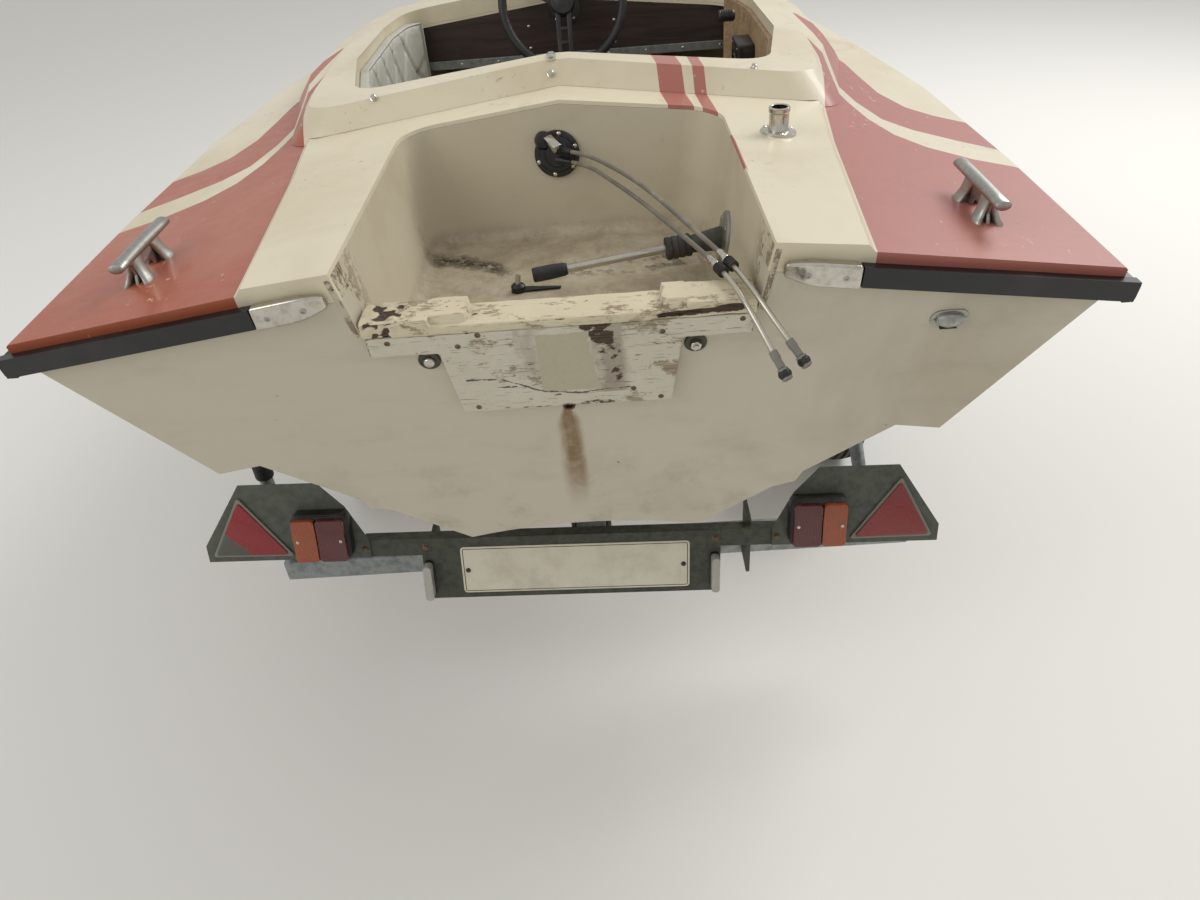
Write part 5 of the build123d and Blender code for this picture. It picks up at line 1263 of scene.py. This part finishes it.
def addHelm():
    bm = bmesh.new()
    centre = facing(helm["hub"], helm["way"])
    turns = [math.tau * k / 14 for k in range(15)]
    rim, bar = helm["rim"], helm["bar"]
    lathe(bm, [(rim + bar * math.cos(turn), bar * math.sin(turn)) for turn in turns], centre, 96)
    # finger ridges on the inside of the rim
    for k in range(helm["ridges"]):
        ridge = spun(centre, 360 / helm["ridges"] * k) @ Matrix.Translation((rim - 0.0108, 0, 0))
        block(bm, (0.004, 0.005, 0.013), ridge, 0.0011, 0, 1)
    for turn in helm["spokes"]:
        spoke = spun(centre, turn)
        for off in (15.5, -15.5):
            arm = [(26, off - 6.5), (160, off - 5.8), (160, off + 5.8), (26, off + 6.5)]
            slab(bm, inMetres(arm), 0.0, 0.005, spoke, 0.0012, 1)
        for at in (0.030, 0.068, 0.104, 0.138, 0.154):
            block(bm, (0.009, 0.022, 0.0046), spoke @ Matrix.Translation((at, 0, 0.0025)), 0.001, 1, 1)
    lathe(bm, [(0, -0.015), (0.030, -0.015), (0.034, -0.011), (0.034, 0.008), (0.031, 0.0125),
               (0.026, 0.0135), (0.0255, 0.0115), (0.018, 0.0125), (0.010, 0.0146), (0, 0.015)],
          centre, 40, 1)
    lathe(bm, [(0, -0.080), (0.010, -0.080), (0.010, -0.012), (0, -0.012)], centre, 20, 2)
    piece("steeringWheel", bm, ("grip", "black", "steel"), "steering_wheel")
    bm = bmesh.new()
    shaft, long = helm["shaft"], helm["reach"] / math.cos(helm["lean"]) - 0.020
    lathe(bm, [(shaft, 0.0), (0.0185, 0.0), (0.0215, 0.003), (0.0225, 0.030), (0.0205, 0.034),
               (0.0205, 0.040), (0.0235, 0.044), (0.0240, long), (0, long), (0, 0.0655), (shaft, 0.0655),
               (shaft, 0.0)],
          facing(helm["hub"] - helm["way"] * helm["columnFrom"], -helm["way"]), 36)
    forward, run = helm["plate"]
    behind = Vector((0, forward, -run * math.tan(helm["lean"]))) / 1000
    plate = facing(helm["hub"] + behind, (0, -1, 0))
    lathe(bm, [(0, 0), (0.046, 0), (0.046, 0.003), (0.042, 0.005), (0.024, 0.007), (0, 0.007)], plate, 40)
    for turn in range(4):
        screwHead(bm, spun(plate, 45 + 90 * turn) @ Matrix.Translation((0.036, 0, 0.0048)), 0.004, 1)
    piece("helmColumn", bm, ("black", "chrome"), "steering_column")


addHelm()


# throttle box, lever and knob on the starboard panel
throttle = {"panel": 487.4, "y": 1400, "level": 500, "pivot": 488, "knob": 608, "ribs": 5}


def addThrottle():
    bm = bmesh.new()

    def offPanel(x, level, along=0):
        return facing(boat(throttle["panel"] - x, throttle["y"] + along, level), (-1, 0, 0), (0, 1, 0))
    box = [(-59, -46), (59, -46), (59, 30), (48, 46.5), (-48, 46.5), (-59, 30)]
    slab(bm, inMetres(box), -0.0228, 0.0228, offPanel(23, throttle["level"]), 0.006, 0, 3)
    boss = [(0, 0), (26, 0), (26, 2), (22, 3), (0, 3)]
    lathe(bm, inMetres(boss), offPanel(45.6, throttle["pivot"]), 28, 1)
    pivot = offPanel(50, throttle["pivot"])
    slab(bm, inMetres([(-9.8, -6), (9.8, -6), (7.2, 118), (-7.2, 118)]), -0.0038, 0.0038, pivot, 0.0014, 2)
    lathe(bm, inMetres([(0, -4.2), (12.5, -4.2), (12.5, 3.6), (10, 4.2), (0, 4.2)]), pivot, 24, 2)
    ribs = [(0, 0.0), (0.0090, 0.0), (0.0128, 0.003)]
    for k in range(throttle["ribs"]):
        base = 0.006 + 0.0065 * k
        ribs += [(0.0148, base), (0.0150, base + 0.003), (0.0136, base + 0.0038), (0.0136, base + 0.0056)]
    lathe(bm, ribs + [(0.0145, 0.039), (0.0110, 0.0432), (0, 0.044)], offPanel(46, throttle["knob"]), 28)
    for along, up in ((49, -37), (-49, -37), (44, 34), (-44, 34)):
        screwHead(bm, offPanel(45.8, throttle["level"] + up, along), 0.003, 1)
    piece("throttleBox", bm, ("black", "chrome", "zinc"), "throttle")


addThrottle()


# strip along the dash and its screws; fixings of the windscreen, found on the rail's front
cockpitMetal = {"strip": (110, 1694.3, 471), "rail": (75, 648, 0.11), "ahead": 2850, "dashFront": 1700.2,
                "dash": ((-120, 500), (-120, 560), (130, 500), (130, 560))}


def addCockpitMetal():
    refined("dash_strip", 0.0015)
    bm = bmesh.new()
    pitch, y, level = cockpitMetal["strip"]
    places = [(facing(boat(pitch * k, y, level), (0, -1, 0)), 0.0042) for k in range(-4, 5)]
    pitch, level, fall = cockpitMetal["rail"]
    rail = surfaceOf(bpy.data.objects["screen_railSkin"].data)
    for x in (pitch * k for k in range(-5, 6)):
        ahead = boat(x, cockpitMetal["ahead"], level - abs(x) * fall)
        spot, way, _, _ = rail.ray_cast(ahead, Vector((0, -1, 0)))
        if spot is not None:
            places.append((facing(spot, way), 0.0046))
    front = cockpitMetal["dashFront"]
    places += [(facing(boat(x, front, z), (0, -1, 0)), 0.0045) for x, z in cockpitMetal["dash"]]
    for place, radius in places:
        screwHead(bm, place, radius)
    piece("cockpitScrews", bm, "chrome", "dash_strip", slot="bright_steel")
    refined("windscreen", 0.0012, angle=40)


addCockpitMetal()
print("helm and cockpit fittings made")

# light board: its local X runs along the beam, Y up the board, Z aft
boardPlace = (Matrix.Translation(ground(-42, 218, 467)) @ Matrix.Rotation(math.radians(90 - 12.6), 4, "X")
              @ Matrix.Rotation(math.radians(-2), 4, "Z"))
lightGear = {"lamp": (445, 560, 12, 117), "parting": 506, "marker": (298, -52.5), "front": 3.0,
             "reflector": [(572, 12), (743, 14), (668, 150)], "plate": (-230, 246, -92, 18)}


def onBoard(x, y, z):
    return boardPlace @ Matrix.Translation(Vector((x, y, z)) / 1000)


def boardSlab(bm, side, outline, low, high, bevel, material, segments=2):
    # plate on the starboard board, or mirrored on the port one, all in millimetres
    slab(bm, inMetres([(side * x, y) for x, y in outline][::side]),
         low / 1000, high / 1000, boardPlace, bevel / 1000, material, segments)


def addLightGear():
    refined("light_beam", 0.0012)
    refined("lamp_boards", 0.0007)
    bm = bmesh.new()
    inner, outer, low, high = lightGear["lamp"]
    parting, front = lightGear["parting"], lightGear["front"]
    x, y = lightGear["marker"]
    # housing and its rim, red lens inboard, amber lens outboard, then the marker's base and its lens
    layers = [(rounded(boxed(inner, outer, low, high), 16), front, 30, 2.5, 0),
              (rounded(boxed(inner + 2, outer - 2, low + 2, high - 2), 14), 30, 33.5, 1.2, 0),
              (rounded(boxed(inner + 5, parting, low + 6, high - 6), 9), 33.5, 47, 5, 1, 3),
              (rounded(boxed(parting + 2, outer - 5, low + 6, high - 6), 9), 33.5, 47, 5, 2, 3),
              (rounded(boxed(x - 10, x + 10, y - 42, y + 42), 9.5, 7), front, 10, 1, 0),
              (rounded(boxed(x - 8.5, x + 8.5, y - 40, y + 40), 8.2, 7), 10, 32, 7, 3, 4)]
    for side in (1, -1):
        for layer in layers:
            boardSlab(bm, side, *layer)
        for at in (inner + 14, outer - 14):
            screwHead(bm, onBoard(side * at, (low + high) / 2, 47), 0.0034, 4)
    piece("lampSet", bm, ("black", "lensRed", "lensAmber", "lensWhite", "chrome"), "lamps")
    bm = bmesh.new()
    corners = [Vector(p) for p in lightGear["reflector"]]
    sides = [(corners[k - 2] - corners[k - 1]).length for k in range(3)]
    middle = sum((c * s for c, s in zip(corners, sides)), Vector((0, 0))) / sum(sides)
    for side in (1, -1):
        for share, *layer in ((1.0, front, 7.8, 1.2, 0), (0.89, 7.8, 10.8, 1.0, 1)):
            boardSlab(bm, side, rounded([tuple(middle + (c - middle) * share) for c in corners], 9), *layer)
    piece("reflexTriangles", bm, ("greyMoulding", "reflex"), "reflectors")
    bm = bmesh.new()
    x1, x2, y1, y2 = lightGear["plate"]
    boardSlab(bm, 1, rounded(boxed(x1, x2, y1, y2), 9), front, 4.6, 0.4, 0)
    bm.normal_update()
    out = boardPlace.to_3x3() @ Vector((0, 0, 1))
    # a black line set in from the edge of the front, which is the outer one of the two largest faces
    face = max(bm.faces, key=lambda f: (round(f.calc_area(), 4), f.calc_center_median().dot(out)))
    bmesh.ops.inset_region(bm, faces=[face], thickness=0.0035, depth=0.0004)
    for line in bmesh.ops.inset_region(bm, faces=[face], thickness=0.0016, depth=0.0)["faces"]:
        line.material_index = 1
    bmesh.ops.inset_region(bm, faces=[face], thickness=0.0006, depth=-0.0004)
    for at in (x1 + 13, x2 - 13):
        lathe(bm, [(0, 0), (0.0052, 0), (0.0050, 0.0018), (0.0036, 0.0030), (0, 0.0034)],
              onBoard(at, (y1 + y2) / 2, 4.4), 20, 1)
    piece("blankPlate", bm, ("plate", "black"), "number_plate")


addLightGear()
print("lamps and plate made")

# wheels: ribbed tyre, rim with slots, hub with nuts and a grease cap
# a profile's points are (radius, how far out from the middle)
wheel = {"centre": (720, 1150, 260), "steps": 40, "slots": (36, 0.060, 0.079), "nuts": (4, 0.0345, 0.0118),
         "tyre": [(112, 45), (113, 49), (122, 53), (140, 60.5), (165, 62.4), (200, 62.4), (228, 58.5),
                  (244, 50), (252, 43), (248, 40.5), (248, 38.5), (255, 36.5), (258, 22), (251, 21),
                  (251, 17.5), (258.8, 16.5), (260, 4.5), (253, 4)],
         "rim": [(111.5, -45), (111.5, 45), (113.5, 46.5), (114.5, 50), (112.5, 51.5), (108.5, 50),
                 (106, 46), (104.5, 38), (99, 32), (97, 22), (97, -22), (99, -32), (104.5, -38), (106, -46),
                 (108.5, -50), (112.5, -51.5), (114.5, -50), (113.5, -46.5), (111.5, -45)],
         "disc": [(98, 10), (91, 13), (80, 7), (58, 7), (50, 10), (40, 10)],
         "hub": [(14.05, -45), (36, -45), (38, -43), (38, -14), (43, -8), (43, 8), (40, 12), (29, 14),
                 (26, 18), (26, 38), (22, 43), (12, 45), (0, 45), (0, 21), (14.05, 21), (14.05, -45)]}


def mirrored(half):
    # a profile with its lower half added, closed to a ring
    return inMetres(half + [(r, -h) for r, h in reversed(half)] + half[:1])


def addWheels():
    pitch, inner, outer = wheel["slots"]
    nuts, nutsOut, nutsUp = wheel["nuts"]
    for side, hand in ((1, "starboard"), (-1, "port")):
        x, y, z = wheel["centre"]
        place = facing(ground(side * x, y, z), (side, 0, 0), (0, 0, 1))
        bm = bmesh.new()
        lathe(bm, mirrored(wheel["tyre"]), place, wheel["steps"])
        piece("ribbedTyre_" + hand, bm, "tyre", "tyre_" + hand, angle=48)
        bm = bmesh.new()
        lathe(bm, inMetres(wheel["rim"]), place, 64)
        # the disc is left open in ten slots, then given its thickness
        disc = lathe(bm, inMetres(wheel["disc"]), Matrix.Identity(4), 80)
        faces = list(dict.fromkeys(f for v in disc for f in v.link_faces))
        slots = []
        for face in faces:
            middle = face.calc_center_median()
            turn = math.degrees(math.atan2(middle.y, middle.x)) % pitch
            if inner < middle.xy.length < outer and turn < pitch / 2:
                slots.append(face)
        bmesh.ops.delete(bm, geom=slots, context="FACES")
        faces = [f for f in faces if f.is_valid]
        bmesh.ops.solidify(bm, geom=faces, thickness=0.0045)
        bmesh.ops.transform(bm, matrix=place, verts=linked([v for v in disc if v.is_valid][:1]))
        lathe(bm, inMetres(wheel["hub"]), place, 40, 1)
        for turn in range(nuts):
            nut = spun(place, 45 + 360 / nuts * turn) @ Matrix.Translation((nutsOut, 0, nutsUp))
            hexHead(bm, nut, 0.0135, 0.008, 0.0, 2)
            lathe(bm, [(0, 0.007), (0.0038, 0.007), (0.0034, 0.0125), (0, 0.013)], nut, 12, 2)
        valve = place @ Matrix.Translation((0.0865, 0, 0.010))
        lathe(bm, [(0, 0), (0.0045, 0), (0.0042, 0.012), (0.0034, 0.013), (0.0034, 0.022), (0.0042, 0.0225),
                   (0.0040, 0.031), (0, 0.0315)], valve, 14, 3)
        piece("slottedRim_" + hand, bm, ("rim", "zinc", "bolt", "rubber"), "rim_" + hand)


addWheels()


def addRollers():
    # each with a raised nave, soft shoulders and two grooves, as wide and as large as its CAD roller
    bm = bmesh.new()
    for low, high in islands("rollers"):
        middle, radius, half = (low + high) * 500, (high.z - low.z) * 500, (high.x - low.x) * 500
        line = [(8.1, -half), (radius * 0.55, -half), (radius * 0.60, -half + 3), (radius - 6, -half + 3),
                (radius - 1.5, -half + 6), (radius, -half + 11), (radius, -18), (radius - 2.5, -15),
                (radius - 2.5, -9), (radius, -6)]
        lathe(bm, mirrored(line), facing(middle / 1000, (1, 0, 0)), 44)
    piece("keelRollers", bm, "rubber", "rollers", angle=40)


addRollers()

# steel of the trailer with rounded edges
for nodeName, width in (("trailer_frame", 0.003), ("axle", 0.003), ("winch_frame", 0.0015),
                        ("mudguards", 0.0012), ("post_rubbers", 0.004), ("coupling", 0.004),
                        ("jockey_tube", 0.0015), ("jockey_leg", 0.0008), ("jockey_fork", 0.0012),
                        ("winch_strap", 0.0008)):
    refined(nodeName, width)
refined("bow_eye", angle=50)
print("trailer steel rounded")


# bolts of the trailer: U bolts as (y, half depth of the cross member, its underside), heads on both sides
# as (x, y, level, spanner), rivets through the mudguards, two screws through each lamp board
fixings = {"uBolts": ((1150, 30, 340), (330, 25, 350)), "uHalf": 37, "uTop": 487, "uBend": 12,
           "uRadius": 0.005, "rollerSide": 0.0538, "clamp": (128.8, 4560, 440), "board": (300, 424),
           "heads": ((29.8, 4722, 440, 19), (29.8, 4776, 440, 19), (53.8, 4244, 915, 13),
                     (53.8, 4204, 915, 13), (584.8, 1150, 290, 19), (584.8, 1150, 370, 19)),
           "sizes": {19: (0.019, 0.009, 0.014), 13: (0.013, 0.006, 0.010)},
           "rivets": ((628, 1150, 566), (690, 1150, 566))}
guardLip = {"centre": (720, 1150, 260), "radius": 304, "half": 75, "from": 12, "sweep": 156, "steps": 32,
            "bead": 0.0042}


def uBolt(bm, y, foot):
    # over the pole, its two threaded ends through a plate under the cross member
    half, top, bend, radius = fixings["uHalf"], fixings["uTop"], fixings["uBend"], fixings["uRadius"]
    path = [(-half, foot), (-half, top - bend)]
    path += [(bend - half - bend * math.cos(a), top - bend + bend * math.sin(a))
             for a in (0.4, 0.8, 1.2, 1.57)]
    path += [(-x, z) for x, z in reversed(path)]
    spots = [ground(x, y, z) for x, z in path]
    sections = []
    for index, spot in enumerate(spots):
        way = spots[min(index + 1, len(spots) - 1)] - spots[max(index - 1, 0)]
        sections.append((facing(spot, way, (0, 1, 0)), radius, radius))
    tube(bm, sections, 12)
    for side in (1, -1):
        hexHead(bm, facing(ground(half * side, y, foot + 12), (0, 0, -1)), 0.015, 0.009, 0.011)


def addTrailerBolts():
    bm = bmesh.new()
    for y, deep, under in fixings["uBolts"]:
        for off in (deep + 6.5, -deep - 6.5):
            uBolt(bm, y + off, under - 30)
        plate = inMetres(rounded(boxed(-50, 50, -deep - 16, deep + 16), 8))
        slab(bm, plate, -0.006, 0, facing(ground(0, y, under), (0, 0, 1)), 0.0008)
    for low, high in islands("rollers"):
        middle = (low + high) / 2
        for side in (1, -1):
            spot = Vector((fixings["rollerSide"] * side, middle.y, middle.z))
            hexHead(bm, facing(spot, (side, 0, 0)), 0.019, 0.008, 0.015)
    for side in (1, -1):
        for x, y, level, spanner in fixings["heads"]:
            hexHead(bm, facing(ground(x * side, y, level), (side, 0, 0)), *fixings["sizes"][spanner])
        for x, y, level in fixings["rivets"]:
            lathe(bm, [(0, 0), (0.013, 0), (0.013, 0.0012), (0.0085, 0.0014), (0.0075, 0.0048),
                       (0.004, 0.0064), (0, 0.0066)], facing(ground(x * side, y, level), (0, 0, 1)), 20)
        for x in fixings["board"]:
            hexHead(bm, onBoard(side * x, 21, 2.8), 0.010, 0.005, 0.008)
    # clamping screw of the jockey leg with its T bar
    clampFace = ground(*fixings["clamp"])
    hexHead(bm, facing(clampFace, (1, 0, 0)), 0.020, 0.012, 0.014)
    for start, end, radius, soft in (((10, 0, 0), (44, 0, 0), 0.0055, 0.001),
                                     ((38, 0, -45), (38, 0, 45), 0.0045, 0.0015)):
        rod(bm, clampFace + Vector(start) / 1000, clampFace + Vector(end) / 1000, radius, 14, 0, soft)
    piece("trailerBolts", bm, "bolt", "trailer_frame", slot="bright_steel")
    # rolled lips along both edges of the mudguards
    bm = bmesh.new()
    x, y, z = guardLip["centre"]
    radius, bead = guardLip["radius"], guardLip["bead"]
    for side in (1, -1):
        for off in (-guardLip["half"], guardLip["half"]):
            sections = []
            for k in range(guardLip["steps"] + 1):
                angle = math.radians(guardLip["from"] + guardLip["sweep"] * k / guardLip["steps"])
                spot = ground(x * side + off, y + radius * math.cos(angle), z + radius * math.sin(angle))
                way = Vector((0, -math.sin(angle), math.cos(angle)))
                sections.append((facing(spot, way), bead, bead))
            tube(bm, sections, 12)
    piece("guardLips", bm, "black", "mudguards", added=True)


addTrailerBolts()


# winch drum with the strap wound on it, shaft, crank and grip
winch = {"axis": ground(0, 4200, 900), "shaft": 0.070, "crank": 0.190, "wound": 5, "ridges": 9}


def addWinch():
    bm = bmesh.new()
    at, end = winch["axis"], winch["axis"] + Vector((winch["shaft"], 0, 0))
    drum = [(0, -42), (32, -42), (32, -38.8), (20, -38), (20, 38), (32, 38.8), (32, 42), (0, 42)]
    lathe(bm, inMetres(drum), facing(at, (1, 0, 0)), 48)
    turns = [(19.5, -25.5)]
    for k in range(winch["wound"]):
        turns += [(22.2 + 2 * k, -25.5 + 0.3 * k), (21.8 + 2 * k, -25 + 0.3 * k)]
    strap = turns + [(31.2, -24), (31.6, 0), (31.2, 24)] + [(r, -h) for r, h in reversed(turns)]
    lathe(bm, inMetres(strap), facing(at, (1, 0, 0)), 48, 1)
    rod(bm, at * 2 - end, end, 0.010, 24, 0, 0.0015)
    crank = [(-13, 2), (-10.5, 12), (0, 15), (10.5, 12), (13, 2), (9.5, -110), (9.5, -180), (12.5, -194),
             (8, -204.5), (-8, -204.5), (-12.5, -194), (-9.5, -180), (-9.5, -110)]
    slab(bm, inMetres(crank), -0.0048, 0.0048, facing(end, (1, 0, 0), (0, 1, 0)), 0.0015)
    hexHead(bm, facing(end + Vector((0.0046, 0, 0)), (1, 0, 0)), 0.017, 0.0075, 0.012)
    grip = [(0, 4), (10.5, 4), (13.2, 8)]
    for k in range(winch["ridges"]):
        grip += [(13.8, 12 + 10 * k), (14, 16 + 10 * k), (12.6, 18.5 + 10 * k), (12.6, 20.5 + 10 * k)]
    lathe(bm, inMetres(grip + [(13.8, 104), (11.5, 109.5), (0, 110)]),
          facing(end - Vector((0, 0, winch["crank"])), (1, 0, 0)), 28, 2)
    piece("winchReel", bm, ("zinc", "webbing", "black"), "winch_drum")


addWinch()


jockeyWheel = {"centre": ground(95, 4530, 100),
               "tread": [(66, -17), (72, -20), (82, -25.4), (92, -24), (98, -18), (100, -12), (100, -8),
                         (97.5, -7), (97.5, -4), (100, -3)],
               "core": [(8.05, -25.5), (20, -25.5), (22, -23), (22, -15), (28, -9), (58, -9), (62, -15),
                        (66.5, -17)]}


def addJockeyWheel():
    bm = bmesh.new()
    for material, name in enumerate(("tread", "core")):
        lathe(bm, mirrored(jockeyWheel[name]), facing(jockeyWheel["centre"], (1, 0, 0)), 56, material)
    piece("jockeyTyre", bm, ("rubber", "greyMoulding"), "jockey_wheel")


addJockeyWheel()
print("running gear made")

# padded side lining: diamond tufts with buttons, kept within the box (y, y, z, z)
# crease, button and roll along the edge are (how wide, how deep)
lining = {"cell": 0.004, "across": 118, "down": 88, "first": (1040, 465), "crease": (6.5, 5.5),
          "button": (9, 8.5), "roll": (26, 7), "flat": 22, "box": (905, 1664, 330, 600)}


def tuftDepth(y, z):
    s, t = (y - lining["first"][0]) / lining["across"], (z - lining["first"][1]) / (2 * lining["down"])
    slant = 1 / math.hypot(1 / lining["across"], 1 / (2 * lining["down"]))
    ways = [abs(value - round(value)) * slant for value in (s + t, s - t)]
    (creaseWide, creaseDeep), (buttonWide, buttonDeep) = lining["crease"], lining["button"]
    crease = sum(math.exp(-(way / creaseWide) ** 2) for way in ways)
    return min(crease, 1.25) * creaseDeep + math.exp(-(math.hypot(*ways) / buttonWide) ** 2) * buttonDeep


def addLining():
    thing = piece("tuftedLining", solidOf("side_lining"), "vinyl", "side_lining")
    remeshed(thing, lining["cell"])
    mesh = thing.data
    aft, fore, low, high = lining["box"]
    rollWide, rollDeep = lining["roll"]
    normals = [vert.normal.copy() for vert in mesh.vertices]
    for index, vert in enumerate(mesh.vertices):
        normal = normals[index]
        if normal.x > 0.25:
            local = (vert.co - boatZero) * 1000
            edge = min(local.z - low, high - local.z, local.y - aft, fore - local.y)
            roll = rollDeep * (1 - min(1.0, max(0.0, edge / rollWide))) ** 2
            depth = tuftDepth(local.y, local.z) * min(1.0, max(0.0, edge / lining["flat"]))
            crinkle = bumpy(vert.co, 55) * 0.7
            vert.co -= normal * (depth + roll + 0.8 + crinkle) / 1000 * min(1.0, (normal.x - 0.25) / 0.3)
    mesh.shade_smooth()
    tree = surfaceOf(mesh)
    bm = bmesh.new()
    for row in range(-1, 2):
        for column in range(-1, 6):
            y = lining["first"][0] + lining["across"] * (column + (0.5 if row % 2 else 0))
            z = lining["first"][1] + lining["down"] * row
            if 930 < y < 1650:
                spot, way, _, _ = tree.ray_cast(boat(0, y, z), Vector((-1, 0, 0)))
                if spot is not None:
                    lathe(bm, [(0, -0.001), (0.0095, -0.001), (0.0092, 0.0016), (0.0066, 0.0034),
                               (0.003, 0.0042), (0, 0.0043)], facing(spot, way), 22)
    piece("liningButtons", bm, "vinyl", "side_lining", added=True)


addLining()

# bench and back cushions: swollen by cloth pressure from a smaller form, held down along their sewn lines
cushions = {"inset": 0.009, "corner": 0.020, "cell": 0.0055, "edge": 0.012, "seam": 0.0035, "sunk": 0.007,
            "pressure": 4.0, "frames": 20, "cap": 0.009, "piping": 0.003, "turn": 0.030,
            "plan": {"seat_cushion": ("benchCushion", 2, 5), "back_cushion": ("backrestCushion", 1, 5)}}


def addCushion(node, name, up, channels):
    # up is the axis of the sitting face, 1 for forward and 2 for upward
    low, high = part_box(node)
    inset = Vector((cushions["inset"],) * 3)
    small, large = low + inset, high - inset
    # flat on the side that it rests on
    small[up] = low[up] + 0.0004
    size, middle = large - small, (small + large) / 2
    bm = bmesh.new()
    block(bm, size, Matrix.Translation(middle), cushions["corner"], 0, 4)
    thing = piece(name, bm, "vinyl", node, angle=180)
    remeshed(thing, cushions["cell"])
    held = thing.vertex_groups.new(name="held")
    resting, seams = [], []
    for vert in thing.data.vertices:
        spot = vert.co
        along = (spot.x - small.x) / size.x * channels
        inner = 0.4 < along < channels - 0.4
        fromSeam = abs(along - round(along)) * size.x / channels if inner else 1.0
        if spot[up] < small[up] + cushions["edge"]:
            resting.append(vert.index)
        elif fromSeam < cushions["seam"] and spot[up] > large[up] - cushions["edge"]:
            seams.append(vert.index)
    for index in seams:
        thing.data.vertices[index].co[up] -= cushions["sunk"]
    held.add(resting + seams, 1.0, "REPLACE")
    start = [vert.co.copy() for vert in thing.data.vertices]
    cloth = thing.modifiers.new("cloth", "CLOTH")
    cloth.settings.use_pressure = True
    cloth.settings.uniform_pressure_force = cushions["pressure"]
    cloth.settings.vertex_group_mass = "held"
    cloth.settings.effector_weights.gravity = 0.0
    cloth.settings.tension_stiffness = cloth.settings.compression_stiffness = 8
    cloth.settings.bending_stiffness = 0.4
    cloth.settings.quality = 4
    cloth.point_cache.frame_start, cloth.point_cache.frame_end = 1, cushions["frames"]
    for step in range(1, cushions["frames"] + 1):
        scene.frame_set(step)
    applied(thing)
    scene.frame_set(1)
    for vert, old in zip(thing.data.vertices, start):
        move = vert.co - old
        if move.length > cushions["cap"]:
            move = move.normalized() * cushions["cap"]
        vert.co = old + move
        for axis in range(3):
            vert.co[axis] = min(max(vert.co[axis], low[axis] + 0.0003), high[axis] - 0.0003)
    thing.vertex_groups.clear()
    thing.data.shade_smooth()
    # piping sewn round the sitting face
    tree = surfaceOf(thing.data)
    other = 3 - up
    corners = [(small.x, small[other]), (large.x, small[other]), (large.x, large[other]),
               (small.x, large[other])]
    line = []
    for a, b in rounded(corners, cushions["turn"], 6):
        spot = Vector((a, 0, 0))
        spot[other], spot[up] = b, large[up] - 0.006
        line.append(tree.find_nearest(spot)[0])
    spaced = []
    for index, spot in enumerate(line):
        after = line[(index + 1) % len(line)]
        parts = max(1, round((after - spot).length / cushions["turn"]))
        for k in range(parts):
            spaced.append(tree.find_nearest(spot.lerp(after, k / parts))[0])
    across = Vector((0, 0, 0))
    across[up] = 1
    sections = []
    for index, spot in enumerate(spaced):
        way = spaced[(index + 1) % len(spaced)] - spaced[index - 1]
        sections.append((facing(spot, way, across), cushions["piping"], cushions["piping"]))
    bm = bmesh.new()
    tube(bm, sections, 10, endless=True)
    piece(name + "Piping", bm, "vinylRed", node, added=True)


for nodeName, plan in cushions["plan"].items():
    addCushion(nodeName, *plan)
print("soft goods made")

# studio
studio = {"floor": srgb(226, 224, 218), "world": 0.62,
          "lamps": (("keyLight", (4.0, 1.0, 5.0), 3.0, 240), ("fillLight", (-4.5, -4.5, 4.5), 4.0, 104))}


def addStudio():
    bm = bmesh.new()
    bmesh.ops.create_grid(bm, x_segments=1, y_segments=1, size=30)
    floor = bpy.data.meshes.new("studioFloor")
    bm.to_mesh(floor)
    bm.free()
    paint = Paint("pale floor")
    rough = 0.9 + paint.noise(60, 3, 0.5) * 0.03
    floor.materials.append(paint.finish(Base_Color=studio["floor"], Roughness=rough))
    ground = bpy.data.objects.new("studioFloor", floor)
    scene.collection.objects.link(ground)
    world = bpy.data.worlds.new("studio")
    world.use_nodes = True
    world.node_tree.nodes["Background"].inputs[0].default_value = (1, 1, 1, 1)
    world.node_tree.nodes["Background"].inputs[1].default_value = studio["world"]
    scene.world = world
    aim = Vector((0, -1.5, 0.8))
    for name, place, size, power in studio["lamps"]:
        lamp = bpy.data.lights.new(name, "AREA")
        lamp.size, lamp.energy = size, power
        light = bpy.data.objects.new(name, lamp)
        light.location = place
        light.rotation_mode = "QUATERNION"
        light.rotation_quaternion = (aim - Vector(place)).to_track_quat("-Z", "Y")
        scene.collection.objects.link(light)
    scene.view_settings.view_transform = "Standard"


addStudio()
print("studio lit")
